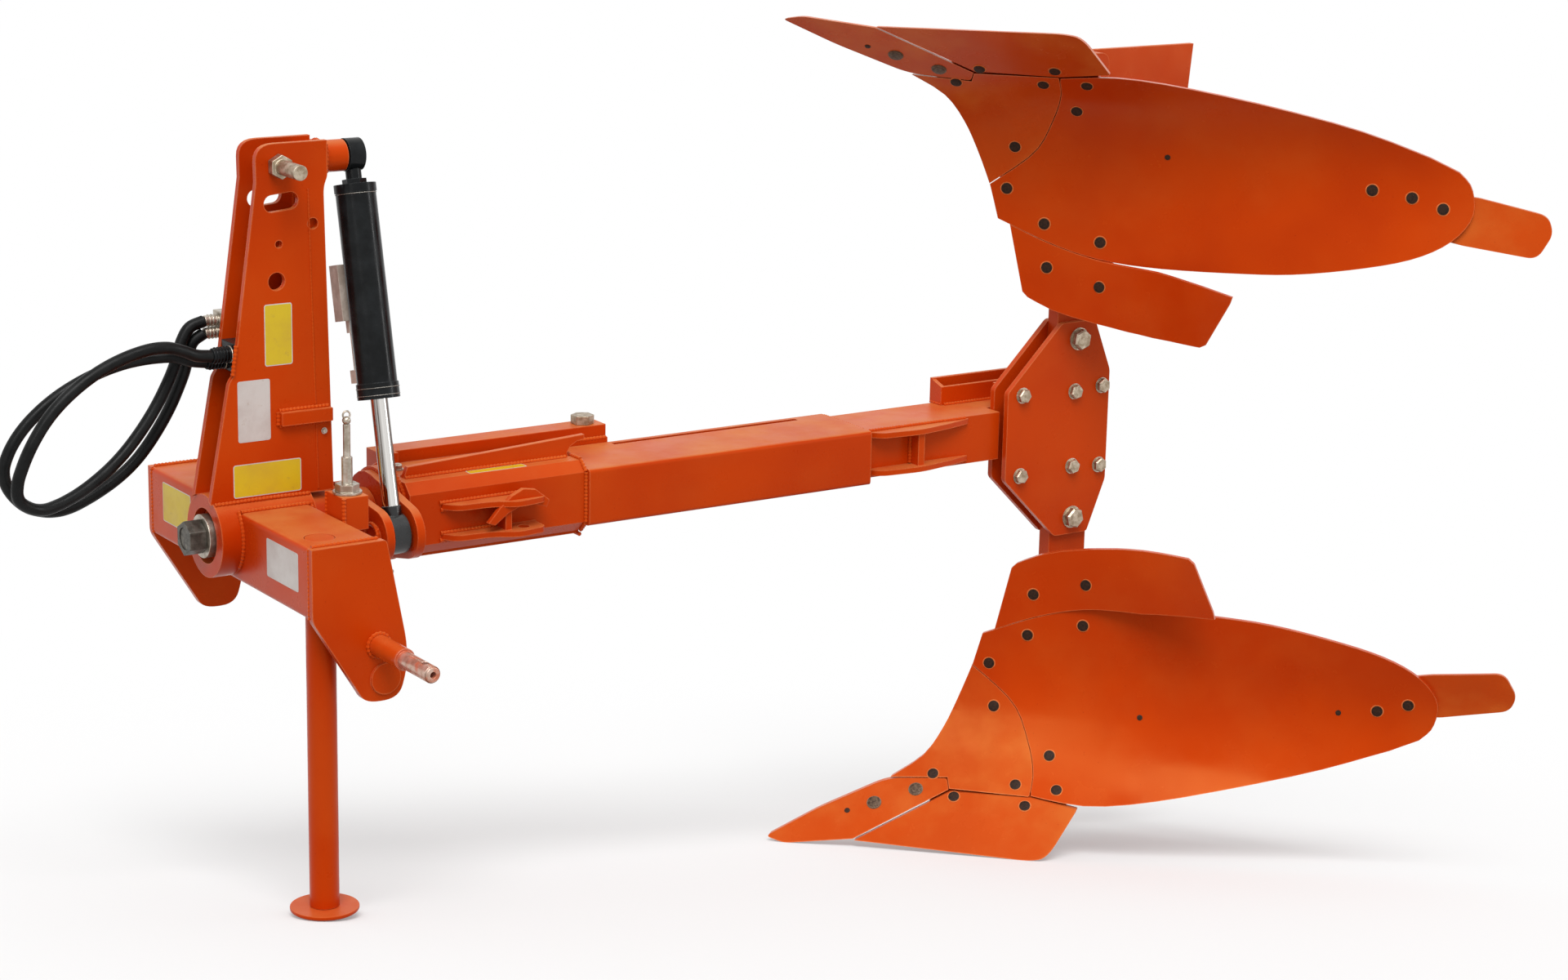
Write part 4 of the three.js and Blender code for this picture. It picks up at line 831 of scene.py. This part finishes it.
def arc(x, y, z, radius, fromDegrees, toDegrees, axis="x"):  # a path round the x or y axis, towards +z
    count = max(6, int(abs(toDegrees - fromDegrees) / 9))
    path = []
    for index in range(count + 1):
        turn = math.radians(fromDegrees + (toDegrees - fromDegrees) * index / count)
        first, second = radius * math.cos(turn), radius * math.sin(turn)
        path.append((x, y + first, z + second) if axis == "x" else (x + first, y, z + second))
    return path


def bothSides(path):  # a path on the plough's right and its mirror image on the left
    return [path, [(x, -y, z) for x, y, z in path]]


def layWelds(name, body, paths, radius=weld["radius"]):
    verts, lines = [], []
    for path in paths:
        first = len(verts)
        verts += [tuple(at(*place)) for place in path]
        lines += [(first + index, first + index + 1) for index in range(len(path) - 1)]
    mesh = bpy.data.meshes.new(name)
    mesh.from_pydata(verts, lines, [])
    piece = bpy.data.objects.new(name, mesh)
    scene.collection.objects.link(piece)
    applyTree(piece, weldBeads, {
        "Radius": radius / 1000, "Step": weld["step"] / 1000, "Ripple Length": weld["ripple"] / 1000,
        "Ripple Depth": weld["rippleDepth"], "Lump": weld["lump"] / 1000, "Lump Scale": weld["lumpSize"],
        "Sides": weld["sides"], "Material": finishes["weldEnamel"]})
    settleTree(piece, "weldEnamel", body)


box = dict(front=0, rear=125, end=300)
hubRadius = 69
mastFace = 36
mastBar = dict(front=80, rear=168, top=201.5, bottom=176.5, face=-mastFace - 1)
boss = dict(x=171, z=cylinder["pivotZ"], radius=27.5)
headWelds = [
    *bothSides([(x, mastFace + 1.5, z) for x, z in ((-36, 58.5), (60, 59.5), (132, 58.5))]),  # mast feet
    *bothSides(arc(box["front"] - 1.5, 0, 0, hubRadius + 1, 42, -42)),  # hub, front
    *bothSides(arc(box["rear"] + 1.5, 0, 0, hubRadius + 1, 42, -42)),  # hub, rear
    *bothSides([(2, 54, 46), (60, 53.5, 46.5), (124, 54, 46)]),  # hub, on the box's top
    *bothSides([(173.5, 28, 582), (174, 31, 604), (173.5, 28, 628)]),  # boss to the mast plates
    arc(boss["x"], 0, boss["z"], boss["radius"], 60, 120),
    arc(boss["x"], 0, boss["z"], boss["radius"], 240, 300),
    [(x, mastBar["face"], mastBar["top"]) for x in (mastBar["front"], mastBar["rear"])],
    [(x, mastBar["face"], mastBar["bottom"]) for x in (mastBar["front"], mastBar["rear"])],
    [(mastBar["front"] - 1.5, mastBar["face"], z) for z in (178, 200)],
    *bothSides([(box["rear"] + 1.5, 111, 26), (box["rear"] + 1.5, 111, 79)]),  # stop posts
    *bothSides([(box["rear"] + 1.5, 173, 26), (box["rear"] + 1.5, 173, 79)]),
    [(0, -mastFace - 1, 268), (7, -mastFace - 1, 316)],  # hose block
    *bothSides([(2, box["end"] + 0.5, 43), (2, box["end"] + 0.5, -70)]),  # end plates
    *bothSides([(6, box["end"] + 0.5, 46), (120, box["end"] + 0.5, 46)]),
    *bothSides(arc(114, 315.5, -125, 19.2, 0, 352, "y")),  # link pins
]
layWelds("headstockWelds", "headstock", headWelds)
mastSeam = [(148, mastFace + 0.2, 64), (143, mastFace + 0.2, 300), (137, mastFace + 0.2, 560)]
layWelds("mastSeams", "headstock", bothSides(mastSeam), weld["seamRadius"])

sleeveLine = 627
stubLine = 1218.5
earLine = -86.5
stubFace = -68
turningWelds = [
    [(sleeveLine, -67, 63.2), (sleeveLine, -30, 63.5), (sleeveLine, 61, 63)],  # beam into the sleeve
    [(sleeveLine, -86.5, 44), (sleeveLine, -86.5, -44)],
    [(sleeveLine, -86, 45), (sleeveLine, -68, 62.5)],
    [(sleeveLine, -86, -45), (sleeveLine, -68, -62.5)],
    [(sleeveLine, 63.5, 60), (sleeveLine, 63.5, -60)],
    [(sleeveLine, -66, -70), (sleeveLine, 60, -70)],
    [(stubLine, -67.5, 45), (stubLine, -67.5, -45)],  # sleeve onto the rear beam
    [(stubLine, -66, 46.5), (stubLine, 58, 46.5)],
    [(stubLine, -66, -46.5), (stubLine, 58, -46.5)],
    [(stubLine, 59.5, 45), (stubLine, 59.5, -45)],
    [(345, earLine, 25.2), (526, earLine, 25.2)],  # front ears
    [(347, earLine, 12.8), (450, earLine, 12.8)],
    [(466, earLine, 12.8), (526, earLine, 12.8)],
    [(345, earLine, -39.2), (526, earLine, -39.2)],
    [(347, earLine, -26.8), (450, earLine, -26.8)],
    [(1224, stubFace, 43.2), (1446, stubFace, 43.2)],  # rear ears
    [(1224, stubFace, -39.2), (1446, stubFace, -39.2)],
    [(1228, stubFace, 30.8), (1322, stubFace, 30.8)],
    [(1342, stubFace, 30.8), (1440, stubFace, 30.8)],
    [(1323.5, stubFace, 28), (1323.5, stubFace, -26)],
    [(304, -41.5, 63), (450, -41, 63.2), (612, -41.5, 63)],  # rib on the beam's top
    [(304, -28.5, 63), (612, -28.5, 63)],
    [(644, 71.5, 57), (700, 71.5, 57.4), (760, 71.5, 57)],  # lug of the adjusting bar
    arc(196.5, 0, 0, 46.5, 0, 356),  # shaft into the crank lugs and the beam's end
    arc(269.5, 0, 0, 73.5, 10, 340),
    arc(288.5, 0, 0, 79, 0, 356),
    [(1466, 31, 46.5), (1466, 64, 46.5)],  # brackets behind the clamp plates
    [(1470, 28.8, 46), (1640, 28.8, 46)],
    [(1648, 28.8, 46), (1648, -24, 47)],
    arc(192.5, -cylinder["crank"], 0, 22, 0, 350),  # crank pin
    arc(275, -cylinder["crank"], 0, 22.5, 0, 350),
]
layWelds("turningFrameWelds", "turning_frame", turningWelds)
print("welds laid")

# Blank stickers: a coloured field on a slightly larger pale sheet, with rounded corners.
sticker = dict(rim=1.6, lift=0.02, sheet=0.18, field=0.14, corner=4, cornerPoints=5)


def roundedOutline(u0, u1, v0, v1, corner):
    path = []
    for cornerU, cornerV, start in ((u1 - corner, v1 - corner, 0), (u0 + corner, v1 - corner, 90),
                                    (u0 + corner, v0 + corner, 180), (u1 - corner, v0 + corner, 270)):
        for index in range(sticker["cornerPoints"]):
            turn = math.radians(start + 90 * index / (sticker["cornerPoints"] - 1))
            path.append((cornerU + corner * math.cos(turn), cornerV + corner * math.sin(turn)))
    return path


def prism(mesh, outline, place, near, far):  # a flat plate between two depths, sides closed, corners shared
    lower = [mesh.verts.new(place(u, v, near)) for u, v in outline]
    upper = [mesh.verts.new(place(u, v, far)) for u, v in outline]
    mesh.faces.new(lower[::-1])
    mesh.faces.new(upper)
    for index in range(len(outline)):
        following = (index + 1) % len(outline)
        mesh.faces.new((lower[index], lower[following], upper[following], upper[index]))


def addPlate(name, outline, place, near, far, finish, body, rounding=0.0):
    build = bmesh.new()
    prism(build, outline, place, near, far)
    bmesh.ops.recalc_face_normals(build, faces=build.faces)
    if rounding:
        bmesh.ops.bevel(build, geom=build.edges[:], offset=rounding / 1000, segments=2, affect="EDGES",
                        profile=0.6)
    mesh = bpy.data.meshes.new(name)
    build.to_mesh(mesh)
    build.free()
    linkPiece(name, mesh, finish, body)


stickers = {  # surface, its level, then two ranges in the surface's own directions
    "mastYellowHigh": ("nearSide", -mastFace, 57, 106, 277, 378, "yellowVinyl", "headstock"),
    "mastWhite": ("nearSide", -mastFace, 8, 65, 156, 257, "whiteVinyl", "headstock"),
    "mastYellowLow": ("nearSide", -mastFace, -2, 118, 65, 120, "yellowVinyl", "headstock"),
    "boxFrontYellow": ("front", 0, 140, 254, -38, 30, "yellowVinyl", "headstock"),
    "boxFrontWhite": ("front", 0, -266, -152, -35, 28, "whiteVinyl", "headstock"),
    "beamYellow": ("top", 62, 415, 525, -64, -44, "yellowVinyl", "turning_frame"),
}
stickerPlaces = {
    "nearSide": lambda level: lambda u, v, lift: at(u, level - lift, v),
    "front": lambda level: lambda u, v, lift: at(level - lift, u, v),
    "top": lambda level: lambda u, v, lift: at(u, v, level + lift),
}
for name, (surfaceName, level, u0, u1, v0, v1, finish, body) in stickers.items():
    place = stickerPlaces[surfaceName](level)
    rim = sticker["rim"]
    whole = roundedOutline(u0, u1, v0, v1, sticker["corner"])
    inner = roundedOutline(u0 + rim, u1 - rim, v0 + rim, v1 - rim, sticker["corner"] - 1)
    thick = sticker["sheet"] + sticker["field"]
    addPlate(name + "Sheet", whole, place, sticker["lift"], sticker["sheet"], "whiteVinyl", body)
    addPlate(name + "Field", inner, place, sticker["sheet"], thick, finish, body)
print("stickers laid:", len(stickers))

# Small fittings on the frame.
hookTab = dict(face=-114, thick=10, rounding=1.5, outline=[
    (417, -11), (440, 14), (461, 31), (484, 41), (508, 37), (534, 16), (529, 4), (505, 12), (480, 12),
    (455, 2), (430, -16)])
plugSpots = {  # body, place, direction, size and spin
    "mastBarBolt": ("headstock", (160, -mastFace, 160), (0, -1, 0), 0.55, 0.2),
    "troughBolt": ("turning_frame", (1550, 46, 53.6), (0, 0, 1), 1.1, 0.3),
    "beamPlug": ("turning_frame", (322, 20, 62), (0, 0, 1), 1.1, 0.1),
}
addPlate("earHookTab", hookTab["outline"], stickerPlaces["nearSide"](hookTab["face"]), 0, hookTab["thick"],
         "frameEnamel", "turning_frame", hookTab["rounding"])
for name, (body, place, direction, size, spin) in plugSpots.items():
    placeFasteners(name, "plugs", body, [(at(*place), along(*direction), size, spin)])


# Rings: grooves, crimps and wires, with sizes in millimetres.
ring = dict(around=44, sides=8)
bandLines = [(64, 33.3, 0.7), (380, 35.2, 0.7), (392, 35.2, 0.5)]  # below the pivot, radius and wire
crimp = dict(first=6, apart=5.5, count=5, radius=12.6, wire=1.3)
ferruleRing = dict(back=3, radius=13.0, wire=1.2)
couplerRing = dict(first=4, apart=6, count=3, radius=9.2, wire=1.2)
screwRing = dict(place=(148, -142, 209), radius=6.2, wire=1.6)
pinHole = dict(x=114, y=490, z=-125, radius=10.0, wire=1.0)


def ringPath(centre, axis, radius):
    first = axis.orthogonal().normalized()
    second = axis.cross(first)
    turns = [math.tau * index / ring["around"] for index in range(ring["around"])]
    return [centre + (first * math.cos(turn) + second * math.sin(turn)) * radius for turn in turns]


def addRings(name, rings, finish, body):  # rings: centre, axis, radius and wire radius
    build = bmesh.new()
    sides = ring["sides"]
    for centre, axis, radius, wire in rings:
        rows = []
        for spot in ringPath(centre, axis, radius / 1000):
            out = (spot - centre).normalized()
            rows.append([build.verts.new(spot + (out * math.cos(math.tau * index / sides)
                                                 + axis * math.sin(math.tau * index / sides)) * wire / 1000)
                         for index in range(sides)])
        for row, following in zip(rows, rows[1:] + rows[:1]):
            for part in range(sides):
                after = (part + 1) % sides
                build.faces.new((row[part], following[part], following[after], row[after]))
    bmesh.ops.recalc_face_normals(build, faces=build.faces)
    for face in build.faces:
        face.smooth = True
    mesh = bpy.data.meshes.new(name)
    build.to_mesh(mesh)
    build.free()
    linkPiece(name, mesh, finish, body)


def ringRow(end, facts):  # evenly spaced rings forwards from a hose's end
    x, y, z = end
    return [(at(x - facts["first"] - facts["apart"] * index, y, z), rearward, facts["radius"], facts["wire"])
            for index in range(facts["count"])]


def placeRings():
    pivot = at(cylinder["x"], 0, cylinder["pivotZ"])
    lines = [(pivot - rodSlide * (down / 1000), rodSlide, radius, wire) for down, radius, wire in bandLines]
    addRings("cylinderBandLines", lines, "darkNut", "cylinder_barrel")
    crimps, steel = [], []
    for facts in hoseEnds.values():
        x, y, z = facts["start"]
        crimps += ringRow(facts["start"], crimp)
        place = at(x - ferruleRing["back"], y, z)
        steel.append((place, rearward, ferruleRing["radius"], ferruleRing["wire"]))
        steel += ringRow(facts["end"], couplerRing)
    steel.append((at(*screwRing["place"]), rightward, screwRing["radius"], screwRing["wire"]))
    addRings("hoseCrimps", crimps, "blackEnamel", "headstock")
    addRings("steelRings", steel, "zincPlate", "headstock")
    ends = [at(pinHole["x"], side * pinHole["y"], pinHole["z"]) for side in (-1, 1)]
    holeShadeDiscs = [(end, rightward, pinHole["radius"], pinHole["wire"]) for end in ends]
    addRings("linkPinHoles", holeShadeDiscs, "darkNut", "headstock")


placeRings()
print("small fittings placed")

# Studio.
studio = dict(ambient=0.76, floorHalf=60, floorTone=(0.80, 0.80, 0.80, 1), floorBounce=(0.42, 0.41, 0.40, 1),
              floorGlow=0.25, floorReach=1.9, floorFade=2.2)
sun = dict(place=(-2.0, -3.2, 4.6), energy=2.15, angle=34)
strip = dict(width=0.7, length=3.0, energy=59.346)
stripPlaces = {"stripLeft": (-4.2, -2.6, 2.9), "stripRight": (3.8, -3.6, 2.2), "stripHigh": (-0.6, -2.4, 4.6)}
lampTarget = Vector((0, 0, 0.7))
white = (1, 1, 1, 1)


def seenShare(tree):  # 1 where the camera looks, directly or through a shine or glass
    path = tree.nodes.new("ShaderNodeLightPath")
    seen = put(tree, "ShaderNodeMath", {0: path.outputs["Is Camera Ray"], 1: path.outputs["Is Glossy Ray"]},
               operation="MAXIMUM")
    return put(tree, "ShaderNodeMath", {0: seen, 1: path.outputs["Is Transmission Ray"]}, operation="MAXIMUM")


def makeRoom():
    world = bpy.data.worlds.new("studioRoom")
    scene.world = world
    world.use_nodes = True
    tree = world.node_tree
    tree.nodes.clear()
    soft = put(tree, "ShaderNodeBackground", {"Color": white, "Strength": studio["ambient"]})
    shown = put(tree, "ShaderNodeBackground", {"Color": white, "Strength": 1.0})
    both = put(tree, "ShaderNodeMixShader", {0: seenShare(tree), 1: soft, 2: shown})
    tree.links.new(both, tree.nodes.new("ShaderNodeOutputWorld").inputs["Surface"])


def floorFinish():
    finish = bpy.data.materials.new("paleFloor")
    finish.use_nodes = True
    tree = finish.node_tree
    tree.nodes.clear()
    reach = put(tree, "ShaderNodeVectorMath", {0: pieceCoordinates(tree)}, "Value", operation="LENGTH")
    near = between(tree, reach, studio["floorReach"], studio["floorReach"] + studio["floorFade"],
                   1 - studio["floorGlow"], 0.0)
    lit = put(tree, "ShaderNodeBsdfDiffuse", {"Color": studio["floorTone"]})
    glow = put(tree, "ShaderNodeEmission", {"Color": white, "Strength": 1.0})
    shown = put(tree, "ShaderNodeMixShader", {0: near, 1: glow, 2: lit})
    bounce = put(tree, "ShaderNodeBsdfDiffuse", {"Color": studio["floorBounce"]})
    both = put(tree, "ShaderNodeMixShader", {0: seenShare(tree), 1: bounce, 2: shown})
    tree.links.new(both, tree.nodes.new("ShaderNodeOutputMaterial").inputs["Surface"])
    return finish


def makeFloor():
    half = studio["floorHalf"]
    mesh = bpy.data.meshes.new("floor")
    corners = [(-half, -half, 0), (half, -half, 0), (half, half, 0), (-half, half, 0)]
    mesh.from_pydata(corners, [], [(0, 1, 2, 3)])
    mesh.materials.append(floorFinish())
    floor = bpy.data.objects.new("floor", mesh)
    scene.collection.objects.link(floor)


def addLamp(name, kind, place, **settings):
    data = bpy.data.lights.new(name, kind)
    for key, value in settings.items():
        setattr(data, key, value)
    lamp = bpy.data.objects.new(name, data)
    lamp.location = place
    lamp.rotation_euler = (lampTarget - lamp.location).to_track_quat("-Z", "Y").to_euler()
    scene.collection.objects.link(lamp)
    return lamp


makeRoom()
makeFloor()
addLamp("keySun", "SUN", sun["place"], energy=sun["energy"], angle=math.radians(sun["angle"]))
for name, place in stripPlaces.items():
    lamp = addLamp(name, "AREA", place, shape="RECTANGLE", size=strip["width"], size_y=strip["length"],
                   energy=strip["energy"])
    lamp.visible_diffuse = False  # a shine only, the sun and the room give the light
    lamp.visible_camera = False
print("studio lit")

scene.view_settings.view_transform = "Standard"
